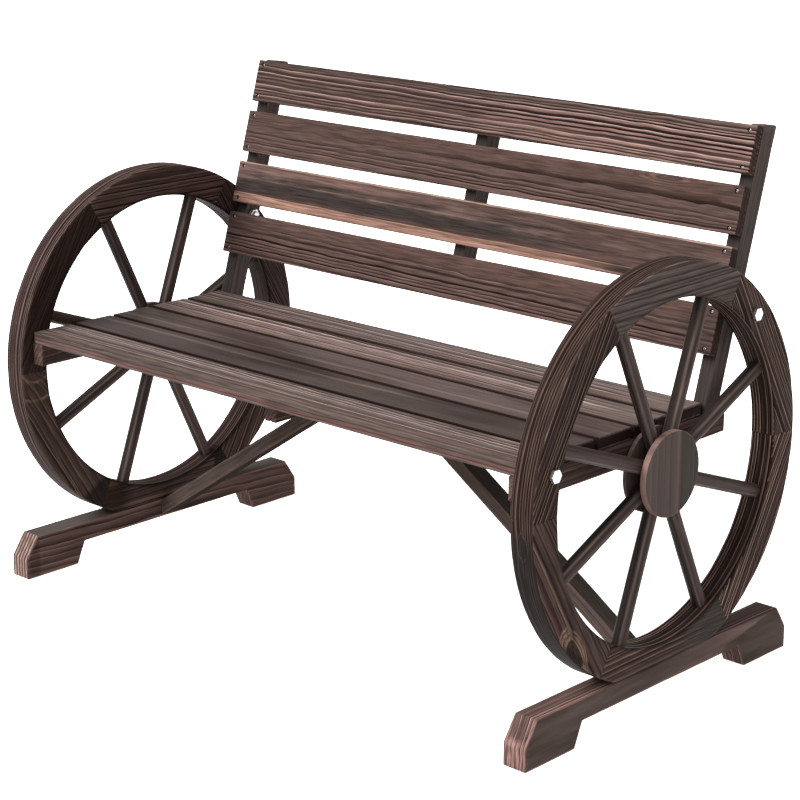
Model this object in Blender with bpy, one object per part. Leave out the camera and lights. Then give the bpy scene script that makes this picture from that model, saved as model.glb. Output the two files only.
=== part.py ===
"""Wagon wheel bench: a slatted two-seat bench carried between two cut-down wagon wheels.

Units are metres and +Z is up. +X runs along the bench, towards the right as seen from the front,
and the sitter faces -Y. The origin lies on the floor, midway between the two wheels and under
their axles.
"""
import math

import bmesh
import bpy
from mathutils import Matrix, Vector

# Clearance left between two pieces that touch
FIT_GAP = 0.0003

# Wheels
WHEEL_SPACING = 0.973
WHEEL_RADIUS = 0.285
RIM_DEPTH = 0.0485
RIM_THICKNESS = 0.038
FLAT_CUT = 0.021
FELLOE_COUNT = 6
FELLOE_START_ANGLE = math.radians(0.0)
TONGUE_LENGTH = 0.008
TONGUE_THICKNESS = 0.012
TONGUE_INNER_COVER = 0.005
TONGUE_OUTER_COVER = 0.008

# Spokes and hubs
SPOKE_COUNT = 8
SPOKE_START_ANGLE = math.radians(25.1)
SPOKE_DIAMETER = 0.0205
SPOKE_SOCKET_DEPTH = 0.014
SPOKE_SPREAD = 0.006
HUB_RADIUS = 0.059
HUB_RECESS = 0.0015
HUB_PROUD = 0.001
HUB_SPIGOT_DEPTH = 0.0035
HUB_EDGE_ROUND = 0.0025

# Runners under the wheels
RUNNER_LENGTH = 0.582
ARCH_HEIGHT = 0.0352
RUNNER_WEB = 0.031
RUNNER_NOSE_HEIGHT = 0.0325
RUNNER_CHAMFER_RUN = 0.023
FOOT_LENGTH = 0.099
FOOT_SLANT_RUN = 0.0155
ARCH_FILLET = 0.006
TENON_LENGTH = 0.060
TENON_THICKNESS = 0.014
MORTISE_FLOOR = 0.017

# Square bars used for the posts, batten and braces; the rails have their width
BAR_WIDTH = 0.022
BAR_DEPTH = 0.031

# Seat
SEAT_RISE = 0.0647
SEAT_BACK_REACH = 0.1205
SEAT_SLAT_COUNT = 5
SEAT_SLAT_GAP = 0.0057
SEAT_SLAT_THICKNESS = 0.018
SEAT_END_SETBACK = 0.004
RAIL_DEPTH = 0.033
RAIL_NOSE = 0.0155
RAIL_OVERHANG = 0.018
CENTRE_RAIL_FRONT_SETBACK = 0.034
CENTRE_RAIL_REAR_SETBACK = 0.012
BRACE_FOOT_DROP = 0.0014

# Back
BACK_LEAN = math.radians(16.5)
BACK_CLEARANCE = 0.0005
BACK_LIFT = 0.0625
BACK_SLAT_COUNT = 4
BACK_SLAT_WIDTH = 0.0673
BACK_SLAT_GAP = 0.0158
BACK_SLAT_THICKNESS = 0.0145
BACK_END_SETBACK = 0.001
BATTEN_INSET = 0.006
POST_RISE = 0.0075
POST_TOP_DROP = 0.0045
POST_TOP_CHAMFER = 0.004
POST_TENON_WIDTH = 0.010
POST_TENON_DEPTH = 0.014
POST_TENON_LENGTH = 0.014

# Bolts that hold the wheels
BOLT_DIAMETER = 0.010
BOLT_HEAD_FLATS = 0.0165
BOLT_HEAD_HEIGHT = 0.0053
NUT_HEIGHT = 0.0065
BOLT_TIP = 0.003
FRONT_BOLT_INSET = 0.0168
REAR_BOLT_INSET = 0.0205
LAG_BITE = 0.038

# Facets of round stretches
ARC_STEP = math.radians(2.5)
ROUND_SIDES = 24
HUB_SIDES = 48
FILLET_STEPS = 4
HEX_SIDES = 6
SHARP_ANGLE = math.radians(30)
MERGE_DISTANCE = 0.00003

# Overreach of a cutter past the surface that it opens
CUT_MARGIN = 0.004

# Sizes that follow from the driving dimensions
INNER_FACE = WHEEL_SPACING / 2
WHEEL_PLANE = INNER_FACE + RIM_THICKNESS / 2
RIM_BORE = WHEEL_RADIUS - RIM_DEPTH
RUNNER_HEIGHT = ARCH_HEIGHT + RUNNER_WEB
FLAT_RADIUS = WHEEL_RADIUS - FLAT_CUT
AXLE_HEIGHT = RUNNER_HEIGHT + FIT_GAP + FLAT_RADIUS
SPOKE_RADIUS = SPOKE_DIAMETER / 2
SPOKE_INNER = SPOKE_RADIUS / math.tan(math.pi / SPOKE_COUNT) + SPOKE_SPREAD
SPOKE_OUTER = RIM_BORE + SPOKE_SOCKET_DEPTH - FIT_GAP
SEAT_TOP = AXLE_HEIGHT + SEAT_RISE
SLAT_UNDERSIDE = SEAT_TOP - SEAT_SLAT_THICKNESS
RAIL_TOP = SLAT_UNDERSIDE - FIT_GAP
RAIL_BOTTOM = RAIL_TOP - RAIL_DEPTH
RAIL_OUTER = INNER_FACE - FIT_GAP
RAIL_INNER = RAIL_OUTER - BAR_WIDTH
FRONT_BOLT_Z = SEAT_TOP - SEAT_SLAT_THICKNESS / 2
FRONT_BOLT_RADIUS = RIM_BORE + FRONT_BOLT_INSET
FRONT_BOLT_Y = -math.sqrt(FRONT_BOLT_RADIUS ** 2 - (FRONT_BOLT_Z - AXLE_HEIGHT) ** 2)
SEAT_FRONT = FRONT_BOLT_Y - RAIL_NOSE
SEAT_END = INNER_FACE - SEAT_END_SETBACK
SEAT_SLAT_WIDTH = (
    SEAT_BACK_REACH - SEAT_FRONT - SEAT_SLAT_GAP * (SEAT_SLAT_COUNT - 1)
) / SEAT_SLAT_COUNT
POST_FRONT = SEAT_BACK_REACH + BACK_CLEARANCE
POST_REAR = POST_FRONT + BAR_DEPTH / math.cos(BACK_LEAN)
RAIL_REAR = POST_REAR + RAIL_OVERHANG
BACK_TOP = (
    BACK_LIFT + BACK_SLAT_COUNT * BACK_SLAT_WIDTH + (BACK_SLAT_COUNT - 1) * BACK_SLAT_GAP
)
UP_THE_BACK = Vector((math.sin(BACK_LEAN), math.cos(BACK_LEAN)))
OUT_OF_BACK = Vector((math.cos(BACK_LEAN), -math.sin(BACK_LEAN)))
SIDES = {"left": -1, "right": 1}


def clear_scene():
    """Remove every object of the scene that the script starts in."""
    for thing in list(bpy.data.objects):
        bpy.data.objects.remove(thing, do_unlink=True)


def principled(name, colour, roughness, metallic=0.0):
    """Make a material from a colour, a roughness and a metallic value."""
    material = bpy.data.materials.new(name)
    material.use_nodes = True
    shader = material.node_tree.nodes["Principled BSDF"]
    shader.inputs["Base Color"].default_value = (*colour, 1.0)
    shader.inputs["Roughness"].default_value = roughness
    shader.inputs["Metallic"].default_value = metallic
    return material


def carbonised_wood(name):
    """Dark scorched softwood, one material for each piece."""
    return principled(name + "_wood", (0.085, 0.062, 0.054), 0.55)


def zinc_steel(name):
    """Bright zinc-plated steel, one material for each fastener."""
    return principled(name + "_zinc", (0.78, 0.78, 0.80), 0.32, 1.0)


def empty(name, location):
    """Add an empty that carries a group of pieces."""
    holder = bpy.data.objects.new(name, None)
    holder.location = location
    bpy.context.scene.collection.objects.link(holder)
    return holder


def place(name, shape, location=(0, 0, 0), turn=0.0, parent=None, material=None):
    """Turn a bmesh into a named object, turned about X and set at a location."""
    bmesh.ops.recalc_face_normals(shape, faces=shape.faces)
    mesh = bpy.data.meshes.new(name)
    shape.to_mesh(mesh)
    shape.free()
    mesh.shade_smooth()
    mesh.set_sharp_from_angle(angle=SHARP_ANGLE)
    thing = bpy.data.objects.new(name, mesh)
    thing.location = location
    thing.rotation_euler = (turn, 0, 0)
    thing.parent = parent
    if material:
        mesh.materials.append(material)
    bpy.context.scene.collection.objects.link(thing)
    return thing


def cutter(name, shape, location=(0, 0, 0), turn=0.0, parent=None):
    """Place a shape that only cuts or adds to other pieces."""
    tool = place(name, shape, location, turn, parent)
    tool.hide_render = True
    tool.display_type = 'WIRE'
    return tool


def combine(piece, tool, operation):
    """Cut a tool out of a piece, or join it on, with a Boolean modifier."""
    step = piece.modifiers.new(tool.name, 'BOOLEAN')
    step.operation = operation
    step.solver = 'EXACT'
    step.object = tool


def arc(radius, start, end, centre=(0, 0), step=ARC_STEP):
    """List points along an arc, both ends included."""
    count = max(2, math.ceil(abs(end - start) / step))
    angles = [start + (end - start) * i / count for i in range(count + 1)]
    return [(centre[0] + radius * math.cos(a), centre[1] + radius * math.sin(a)) for a in angles]


def rounded_corner(before, corner, after, radius):
    """List the points of a fillet that replaces one corner of an outline."""
    corner = Vector(corner)
    towards_before = (Vector(before) - corner).normalized()
    towards_after = (Vector(after) - corner).normalized()
    half_angle = towards_before.angle(towards_after) / 2
    inward = (towards_before + towards_after).normalized()
    centre = corner + inward * (radius / math.sin(half_angle))
    reach = radius / math.tan(half_angle)
    first = corner + towards_before * reach - centre
    last = corner + towards_after * reach - centre
    points = []
    for i in range(FILLET_STEPS + 1):
        spoke = first.lerp(last, i / FILLET_STEPS).normalized()
        points.append(tuple(centre + spoke * radius))
    return points


def keep_above(outline, level):
    """Cut off the part of a (y, z) outline that lies below a level."""
    kept = []
    for here, after in zip(outline, outline[1:] + outline[:1]):
        if here[1] >= level:
            kept.append(here)
        if (here[1] - level) * (after[1] - level) < 0:
            share = (level - here[1]) / (after[1] - here[1])
            kept.append((here[0] + (after[0] - here[0]) * share, level))
    return kept


def extrude(outline, near, far, along):
    """Extrude an outline into a prism along X, from (y, z) points, or along Y, from (x, z) points."""
    shape = bmesh.new()
    if along == 'X':
        corners = [(near, a, b) for a, b in outline]
        travel = (far - near, 0, 0)
    else:
        corners = [(a, near, b) for a, b in outline]
        travel = (0, far - near, 0)
    face = shape.faces.new([shape.verts.new(c) for c in corners])
    grown = bmesh.ops.extrude_face_region(shape, geom=[face])
    moved = [v for v in grown["geom"] if isinstance(v, bmesh.types.BMVert)]
    bmesh.ops.translate(shape, vec=travel, verts=moved)
    return shape


def block(low, high):
    """Make a box between two corners."""
    outline = [(low[1], low[2]), (high[1], low[2]), (high[1], high[2]), (low[1], high[2])]
    return extrude(outline, low[0], high[0], 'X')


def rod(radius, start, end, along, sides=ROUND_SIDES):
    """Make a round or many-sided bar along local X or Z."""
    shape = bmesh.new()
    bmesh.ops.create_cone(shape, cap_ends=True, segments=sides, radius1=radius, radius2=radius,
                          depth=end - start)
    bmesh.ops.translate(shape, vec=(0, 0, (start + end) / 2), verts=shape.verts)
    if along == 'X':
        bmesh.ops.transform(shape, matrix=Matrix.Rotation(math.pi / 2, 4, 'Y'), verts=shape.verts)
    return shape


def turned(profile, sides=HUB_SIDES):
    """Spin a profile of (x, radius) points about the X axis; its ends lie on the axis."""
    shape = bmesh.new()
    ring = []
    for x, radius in profile:
        ring.append(shape.verts.new((x, radius, 0)))
    edges = [shape.edges.new(pair) for pair in zip(ring, ring[1:])]
    bmesh.ops.spin(shape, geom=ring + edges, axis=(1, 0, 0), cent=(0, 0, 0),
                   angle=2 * math.pi, steps=sides, use_merge=True)
    bmesh.ops.remove_doubles(shape, verts=shape.verts, dist=MERGE_DISTANCE)
    return shape


def on_back(rise, offset):
    """Give (y, z) of a point from its height up the post's front face and its depth behind it."""
    foot = Vector((POST_FRONT, RAIL_TOP))
    base = foot + UP_THE_BACK * ((SEAT_TOP - RAIL_TOP) / math.cos(BACK_LEAN))
    return tuple(base + UP_THE_BACK * rise + OUT_OF_BACK * offset)


def rear_bolt_centre():
    """Find where the post's centre line crosses the rear bolts' circle on the rim."""
    start = Vector(on_back(0, BAR_DEPTH / 2)) - Vector((0, AXLE_HEIGHT))
    half = start.dot(UP_THE_BACK)
    reach = (RIM_BORE + REAR_BOLT_INSET) ** 2 - start.length_squared
    rise = -half + math.sqrt(half * half + reach)
    return on_back(rise, BAR_DEPTH / 2)


def felloe_outline(start, end):
    """Outline one felloe, with half a joint gap at each end, standing on the wheel's flat."""
    outer = math.asin(FIT_GAP / 2 / WHEEL_RADIUS)
    inner = math.asin(FIT_GAP / 2 / RIM_BORE)
    rim = arc(WHEEL_RADIUS, start + outer, end - outer)
    bore = arc(RIM_BORE, end - inner, start + inner)
    return keep_above(rim + bore, -FLAT_RADIUS)


def tongue_shape(grow):
    """Make the tongue of a felloe joint about the radius at angle 0; grow gives its slot's play."""
    inside = RIM_BORE + SPOKE_SOCKET_DEPTH + TONGUE_INNER_COVER - grow
    outside = WHEEL_RADIUS - TONGUE_OUTER_COVER + grow
    half = TONGUE_THICKNESS / 2 + grow
    return block((-half, inside, -CUT_MARGIN), (half, outside, TONGUE_LENGTH + grow))


def reaches(angle, half_width, start, end):
    """Say whether something at an angle on the wheel falls within a felloe's span."""
    middle = (start + end) / 2
    away = abs((angle - middle + math.pi) % (2 * math.pi) - math.pi)
    return away < (end - start) / 2 + half_width


def build_rim(side, wheel, bolt_cutters):
    """Build the felloes of one wheel, joined by tongues and standing in the runner by a tenon."""
    span = 2 * math.pi / FELLOE_COUNT
    half = RIM_THICKNESS / 2
    socket_reach = math.asin((SPOKE_RADIUS + CUT_MARGIN) / RIM_BORE)
    bolt_reach = math.asin((BOLT_DIAMETER + TONGUE_LENGTH) / RIM_BORE)
    spoke_angles = [SPOKE_START_ANGLE + 2 * math.pi * i / SPOKE_COUNT for i in range(SPOKE_COUNT)]
    sockets = []
    for number, angle in enumerate(spoke_angles, 1):
        bore = rod(SPOKE_RADIUS + FIT_GAP, RIM_BORE - CUT_MARGIN, RIM_BORE + SPOKE_SOCKET_DEPTH, 'Z')
        sockets.append(cutter(f"{side}_socket_{number}", bore, turn=angle - math.pi / 2, parent=wheel))
    for number in range(1, FELLOE_COUNT + 1):
        start = FELLOE_START_ANGLE + span * (number - 1)
        end = start + span
        name = f"{side}_felloe_{number}"
        body = extrude(felloe_outline(start, end), -half, half, 'X')
        felloe = place(name, body, parent=wheel, material=carbonised_wood(name))
        tongue = cutter(name + "_tongue", tongue_shape(0), turn=end, parent=wheel)
        combine(felloe, tongue, 'UNION')
        slot = cutter(name + "_slot", tongue_shape(FIT_GAP), turn=start, parent=wheel)
        combine(felloe, slot, 'DIFFERENCE')
        for angle, socket in zip(spoke_angles, sockets):
            if reaches(angle, socket_reach, start, end):
                combine(felloe, socket, 'DIFFERENCE')
        for angle, hole in bolt_cutters:
            if reaches(angle, bolt_reach, start, end):
                combine(felloe, hole, 'DIFFERENCE')
        if reaches(-math.pi / 2, 0, start, end):
            combine(felloe, runner_tenon(side, wheel), 'UNION')


def runner_tenon(side, wheel):
    """Make the tenon under the lowest felloe that stands in the runner."""
    half_y = TENON_LENGTH / 2
    half_x = TENON_THICKNESS / 2
    tip = -FLAT_RADIUS - (RUNNER_WEB - MORTISE_FLOOR)
    shape = block((-half_x, -half_y, tip), (half_x, half_y, -FLAT_RADIUS + CUT_MARGIN))
    return cutter(f"{side}_wheel_tenon", shape, parent=wheel)


def build_spokes(side, wheel):
    """Build the dowel spokes of one wheel."""
    for number in range(1, SPOKE_COUNT + 1):
        angle = SPOKE_START_ANGLE + 2 * math.pi * (number - 1) / SPOKE_COUNT
        name = f"{side}_spoke_{number}"
        place(name, rod(SPOKE_RADIUS, SPOKE_INNER, SPOKE_OUTER, 'Z'), turn=angle - math.pi / 2,
              parent=wheel, material=carbonised_wood(name))


def rounded_rim(face, outward):
    """Give the (x, radius) points of a hub plate's edge, round at its outer face."""
    steps = [math.pi / 2 * i / FILLET_STEPS for i in range(FILLET_STEPS + 1)]
    centre_x = face - outward * HUB_EDGE_ROUND
    centre_r = HUB_RADIUS - HUB_EDGE_ROUND
    return [(centre_x + outward * HUB_EDGE_ROUND * math.sin(a), centre_r + HUB_EDGE_ROUND * math.cos(a))
            for a in steps]


def build_hub(side, wheel):
    """Build the hub: an inner plate with a boss between the spokes, and an outer plate on its spigot."""
    out = SIDES[side]
    inner_face = -out * (RIM_THICKNESS / 2 - HUB_RECESS)
    outer_face = out * (RIM_THICKNESS / 2 + HUB_PROUD)
    seat = SPOKE_RADIUS + FIT_GAP
    boss = SPOKE_INNER - FIT_GAP
    boss_end = seat + HUB_SPIGOT_DEPTH
    inner = [(inner_face, 0)]
    inner += reversed(rounded_rim(inner_face, -out))
    inner += [(-out * seat, HUB_RADIUS), (-out * seat, boss), (out * boss_end, boss), (out * boss_end, 0)]
    name = f"{side}_hub_inner"
    place(name, turned(inner), parent=wheel, material=carbonised_wood(name))
    recess = boss_end + FIT_GAP
    outer = [(out * recess, 0), (out * recess, boss + FIT_GAP), (out * seat, boss + FIT_GAP)]
    outer += [(out * seat, HUB_RADIUS)]
    outer += rounded_rim(outer_face, out)
    outer += [(outer_face, 0)]
    name = f"{side}_hub_outer"
    place(name, turned(outer), parent=wheel, material=carbonised_wood(name))


def build_runner(side, wheel):
    """Build the runner that a wheel stands on, with its chamfered ends, two feet and raised arch."""
    end = RUNNER_LENGTH / 2
    half = RIM_THICKNESS / 2
    foot = end - FOOT_LENGTH
    slant = foot - FOOT_SLANT_RUN
    arch_rear = rounded_corner((0, ARCH_HEIGHT), (slant, ARCH_HEIGHT), (foot, 0), ARCH_FILLET)
    arch_front = [(-y, z) for y, z in reversed(arch_rear)]
    outline = [(-end, 0), (-foot, 0)] + arch_front + arch_rear + [(foot, 0), (end, 0)]
    outline += [(end, RUNNER_NOSE_HEIGHT), (end - RUNNER_CHAMFER_RUN, RUNNER_HEIGHT)]
    outline += [(-end + RUNNER_CHAMFER_RUN, RUNNER_HEIGHT), (-end, RUNNER_NOSE_HEIGHT)]
    name = f"{side}_runner"
    runner = place(name, extrude(outline, -half, half, 'X'), (SIDES[side] * WHEEL_PLANE, 0, 0),
                   material=carbonised_wood(name))
    half_y = TENON_LENGTH / 2 + FIT_GAP
    half_x = TENON_THICKNESS / 2 + FIT_GAP
    floor = -FLAT_RADIUS - (RUNNER_WEB - MORTISE_FLOOR) - FIT_GAP
    shape = block((-half_x, -half_y, floor), (half_x, half_y, -FLAT_RADIUS + CUT_MARGIN))
    combine(runner, cutter(name + "_mortise", shape, parent=wheel), 'DIFFERENCE')


def build_bolt(side, label, y, z, end_x, through):
    """Build one hex bolt that enters from the wheel's outer face, and give its hole's cutter."""
    out = SIDES[side]
    outer_face = WHEEL_PLANE + RIM_THICKNESS / 2
    head_seat = outer_face + FIT_GAP
    centre = (0, y, z)
    name = f"{side}_{label}_bolt"
    shank_ends = sorted((out * end_x, out * (head_seat + BOLT_HEAD_HEIGHT / 2)))
    shank = rod(BOLT_DIAMETER / 2, *shank_ends, 'X')
    bolt = place(name, shank, centre, material=zinc_steel(name))
    head_ends = sorted((out * head_seat, out * (head_seat + BOLT_HEAD_HEIGHT)))
    head = rod(BOLT_HEAD_FLATS / math.sqrt(3), *head_ends, 'X', sides=HEX_SIDES)
    combine(bolt, cutter(name + "_head", head, centre), 'UNION')
    hole_end = end_x - (CUT_MARGIN if through else FIT_GAP)
    hole_ends = sorted((out * hole_end, out * (outer_face + CUT_MARGIN)))
    hole = rod(BOLT_DIAMETER / 2 + FIT_GAP, *hole_ends, 'X')
    return cutter(name + "_hole", hole, centre)


def build_nut(side, y, z, hole):
    """Build the nut that draws a rear bolt up against the inner face of its post."""
    out = SIDES[side]
    name = f"{side}_rear_nut"
    seat = RAIL_INNER - FIT_GAP
    ends = sorted((out * seat, out * (seat - NUT_HEIGHT)))
    body = rod(BOLT_HEAD_FLATS / math.sqrt(3), *ends, 'X', sides=HEX_SIDES)
    nut = place(name, body, (0, y, z), material=zinc_steel(name))
    combine(nut, hole, 'DIFFERENCE')


def build_rail(side):
    """Build a seat side rail, which lies against the wheel and carries the slats and a post."""
    out = SIDES[side]
    ends = sorted((out * RAIL_INNER, out * RAIL_OUTER))
    name = f"{side}_seat_rail"
    rail = place(name, block((ends[0], SEAT_FRONT, RAIL_BOTTOM), (ends[1], RAIL_REAR, RAIL_TOP)),
                 material=carbonised_wood(name))
    combine(rail, post_tenon(side, FIT_GAP, "mortise"), 'DIFFERENCE')


def post_tenon(side, grow, use):
    """Make the stub tenon under a post, or with some play, its mortise in the rail."""
    middle_x = SIDES[side] * (RAIL_INNER + RAIL_OUTER) / 2
    middle_y = (POST_FRONT + POST_REAR) / 2
    half_x = POST_TENON_WIDTH / 2 + grow
    half_y = POST_TENON_DEPTH / 2 + grow
    low = (middle_x - half_x, middle_y - half_y, RAIL_TOP - POST_TENON_LENGTH - grow)
    high = (middle_x + half_x, middle_y + half_y, RAIL_TOP + CUT_MARGIN)
    return cutter(f"{side}_post_{use}", block(low, high))


def build_post(side, bolt_hole):
    """Build a leaning back post, which stands on its rail and is bolted to the wheel."""
    out = SIDES[side]
    foot_rise = -(SEAT_TOP - RAIL_TOP - FIT_GAP) / math.cos(BACK_LEAN)
    rear_rise = foot_rise + BAR_DEPTH * math.tan(BACK_LEAN)
    top = BACK_TOP + POST_RISE
    outline = [on_back(foot_rise, 0), on_back(rear_rise, BAR_DEPTH)]
    outline += [on_back(top, BAR_DEPTH), on_back(top - POST_TOP_DROP, 0)]
    ends = sorted((out * RAIL_INNER, out * RAIL_OUTER))
    shape = extrude(outline, *ends, 'X')
    top_level = on_back(top, BAR_DEPTH)[1] - FIT_GAP
    top_edges = [e for e in shape.edges if all(v.co.z > top_level for v in e.verts)]
    bmesh.ops.bevel(shape, geom=top_edges, offset=POST_TOP_CHAMFER, segments=1, affect='EDGES')
    name = f"{side}_post"
    post = place(name, shape, material=carbonised_wood(name))
    combine(post, post_tenon(side, 0, "tenon"), 'UNION')
    combine(post, bolt_hole, 'DIFFERENCE')


def build_brace(side):
    """Build a brace from the runner's inner face up to the side of the centre rail."""
    out = SIDES[side]
    low_x = INNER_FACE - FIT_GAP
    high_x = BAR_WIDTH / 2 + FIT_GAP
    low_z = RUNNER_HEIGHT - BRACE_FOOT_DROP
    high_z = RAIL_TOP
    slope = (high_z - low_z) / (low_x - high_x)
    upright = BAR_WIDTH * math.hypot(1, slope)
    outline = [(out * low_x, low_z), (out * high_x, high_z)]
    outline += [(out * high_x, high_z - upright), (out * low_x, low_z - upright)]
    name = f"{side}_brace"
    place(name, extrude(outline, -BAR_DEPTH / 2, BAR_DEPTH / 2, 'Y'), material=carbonised_wood(name))


def build_side(side):
    """Build everything that stands at one end of the bench, and give its front bolt's hole."""
    wheel = empty(f"{side}_wheel_axle", (SIDES[side] * WHEEL_PLANE, 0, AXLE_HEIGHT))
    rear_y, rear_z = rear_bolt_centre()
    lag_end = SEAT_END - LAG_BITE
    bolt_end = RAIL_INNER - FIT_GAP - NUT_HEIGHT - BOLT_TIP
    front_hole = build_bolt(side, "front", FRONT_BOLT_Y, FRONT_BOLT_Z, lag_end, through=False)
    rear_hole = build_bolt(side, "rear", rear_y, rear_z, bolt_end, through=True)
    front_angle = math.atan2(FRONT_BOLT_Z - AXLE_HEIGHT, FRONT_BOLT_Y)
    rear_angle = math.atan2(rear_z - AXLE_HEIGHT, rear_y)
    build_rim(side, wheel, [(front_angle, front_hole), (rear_angle, rear_hole)])
    build_spokes(side, wheel)
    build_hub(side, wheel)
    build_runner(side, wheel)
    build_rail(side)
    build_post(side, rear_hole)
    build_nut(side, rear_y, rear_z, rear_hole)
    build_brace(side)
    return front_hole


def build_seat(bolt_holes):
    """Build the seat slats, the first held by the front bolts, and the rail under their middle."""
    for number in range(1, SEAT_SLAT_COUNT + 1):
        front = SEAT_FRONT + (number - 1) * (SEAT_SLAT_WIDTH + SEAT_SLAT_GAP)
        name = f"seat_slat_{number}"
        low = (-SEAT_END, front, SLAT_UNDERSIDE)
        high = (SEAT_END, front + SEAT_SLAT_WIDTH, SEAT_TOP)
        slat = place(name, block(low, high), material=carbonised_wood(name))
        if number == 1:
            for hole in bolt_holes:
                combine(slat, hole, 'DIFFERENCE')
    front = SEAT_FRONT + CENTRE_RAIL_FRONT_SETBACK
    rear = SEAT_BACK_REACH - CENTRE_RAIL_REAR_SETBACK
    place("centre_seat_rail", block((-BAR_WIDTH / 2, front, RAIL_BOTTOM), (BAR_WIDTH / 2, rear, RAIL_TOP)),
          material=carbonised_wood("centre_seat_rail"))


def build_back():
    """Build the back slats on the posts' front faces, and the batten behind their middle."""
    end = INNER_FACE - BACK_END_SETBACK
    near = -FIT_GAP - BACK_SLAT_THICKNESS
    for number in range(1, BACK_SLAT_COUNT + 1):
        top = BACK_TOP - (number - 1) * (BACK_SLAT_WIDTH + BACK_SLAT_GAP)
        low = top - BACK_SLAT_WIDTH
        outline = [on_back(low, near), on_back(low, -FIT_GAP), on_back(top, -FIT_GAP), on_back(top, near)]
        name = f"back_slat_{number}"
        place(name, extrude(outline, -end, end, 'X'), material=carbonised_wood(name))
    low = BACK_LIFT + BATTEN_INSET
    top = BACK_TOP - BATTEN_INSET
    outline = [on_back(low, 0), on_back(low, BAR_DEPTH), on_back(top, BAR_DEPTH), on_back(top, 0)]
    place("back_batten", extrude(outline, -BAR_WIDTH / 2, BAR_WIDTH / 2, 'X'),
          material=carbonised_wood("back_batten"))


def main():
    """Build the whole bench."""
    clear_scene()
    bolt_holes = [build_side(side) for side in SIDES]
    build_seat(bolt_holes)
    build_back()


main()
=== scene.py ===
"""Looks of the wagon wheel bench: brushed and scorched boards, turned dowels, zinc-plated bolts.

Each wooden piece is skinned in its grain's own frame: local X runs along the grain, local Y across
the board and local Z through it. One board finish then serves every piece that was sawn from it,
and a piece's cut says how far along, across and through the board it was sawn.
"""
import logging
import math
from dataclasses import dataclass
from enum import Enum, Flag, auto
from typing import Any, Callable, Sequence

import bmesh
import bpy
from mathutils import Matrix, Vector, noise

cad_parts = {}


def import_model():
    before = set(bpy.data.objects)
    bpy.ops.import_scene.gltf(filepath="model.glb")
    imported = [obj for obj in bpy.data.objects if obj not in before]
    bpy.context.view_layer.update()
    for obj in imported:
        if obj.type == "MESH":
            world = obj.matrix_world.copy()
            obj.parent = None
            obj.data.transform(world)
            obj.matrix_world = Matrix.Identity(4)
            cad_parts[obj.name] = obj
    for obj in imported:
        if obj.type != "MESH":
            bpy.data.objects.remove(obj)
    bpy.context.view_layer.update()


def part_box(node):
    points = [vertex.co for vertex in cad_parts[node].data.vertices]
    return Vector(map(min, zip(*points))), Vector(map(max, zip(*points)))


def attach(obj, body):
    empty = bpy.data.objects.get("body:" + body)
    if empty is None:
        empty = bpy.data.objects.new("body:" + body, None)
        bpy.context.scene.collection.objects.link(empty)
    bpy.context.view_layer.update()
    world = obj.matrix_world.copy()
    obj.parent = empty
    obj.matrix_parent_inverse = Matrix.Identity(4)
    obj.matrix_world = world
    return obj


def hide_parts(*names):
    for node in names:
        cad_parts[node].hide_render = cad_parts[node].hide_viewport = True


log = logging.getLogger("wagon_wheel_bench")

Triple = tuple[float, float, float]
Levels = tuple[float, float]
Colour = Triple
Placer = Callable[[float, float], Vector]

BODY = "root"

WEAR_LAYER = "wear"
CHAR_AND_GAP_SHADE_LAYER = "char"
BOARD_LAYER = "board"

# Skins: the gap between pieces that meet, the distance between rings, and how corners are eased.
FIT_GAP = 0.0003
STATION = 0.022
CORNER_STEPS = 3
QUARTER = 90
FLAT_RUN = 2.2
MARGIN_SHARE = 0.4
END_SHARE = 0.7
END_MARGIN_SHARE = 0.3
END_FACE_EASE = 0.2
END_LEAST_EASE = 0.3
END_WEAR = 0.8
ARRIS_FADE = 0.4
SOOT_AND_GAP_SHADE_SPREAD = 0.15
SMOOTH_ANGLE = math.radians(38)

# Brushing leaves broad hollows all over, and knocks leave dents on the arrises.
HOLLOW_DEPTH = 0.00014
HOLLOW_PACE: Triple = (9, 45, 45)
DENT_DEPTH = 0.0011
DENT_PACE: Triple = (42, 20, 20)
DENT_DRAW = 7
DENT_LEVEL = 0.12


class Side(Enum):
    """The end of the bench that a piece belongs to, as seen from the front."""

    LEFT = -1
    RIGHT = 1

    @property
    def tag(self) -> str:
        """Give the side's name as it stands in the frame's nodes."""
        return self.name.lower()


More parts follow.
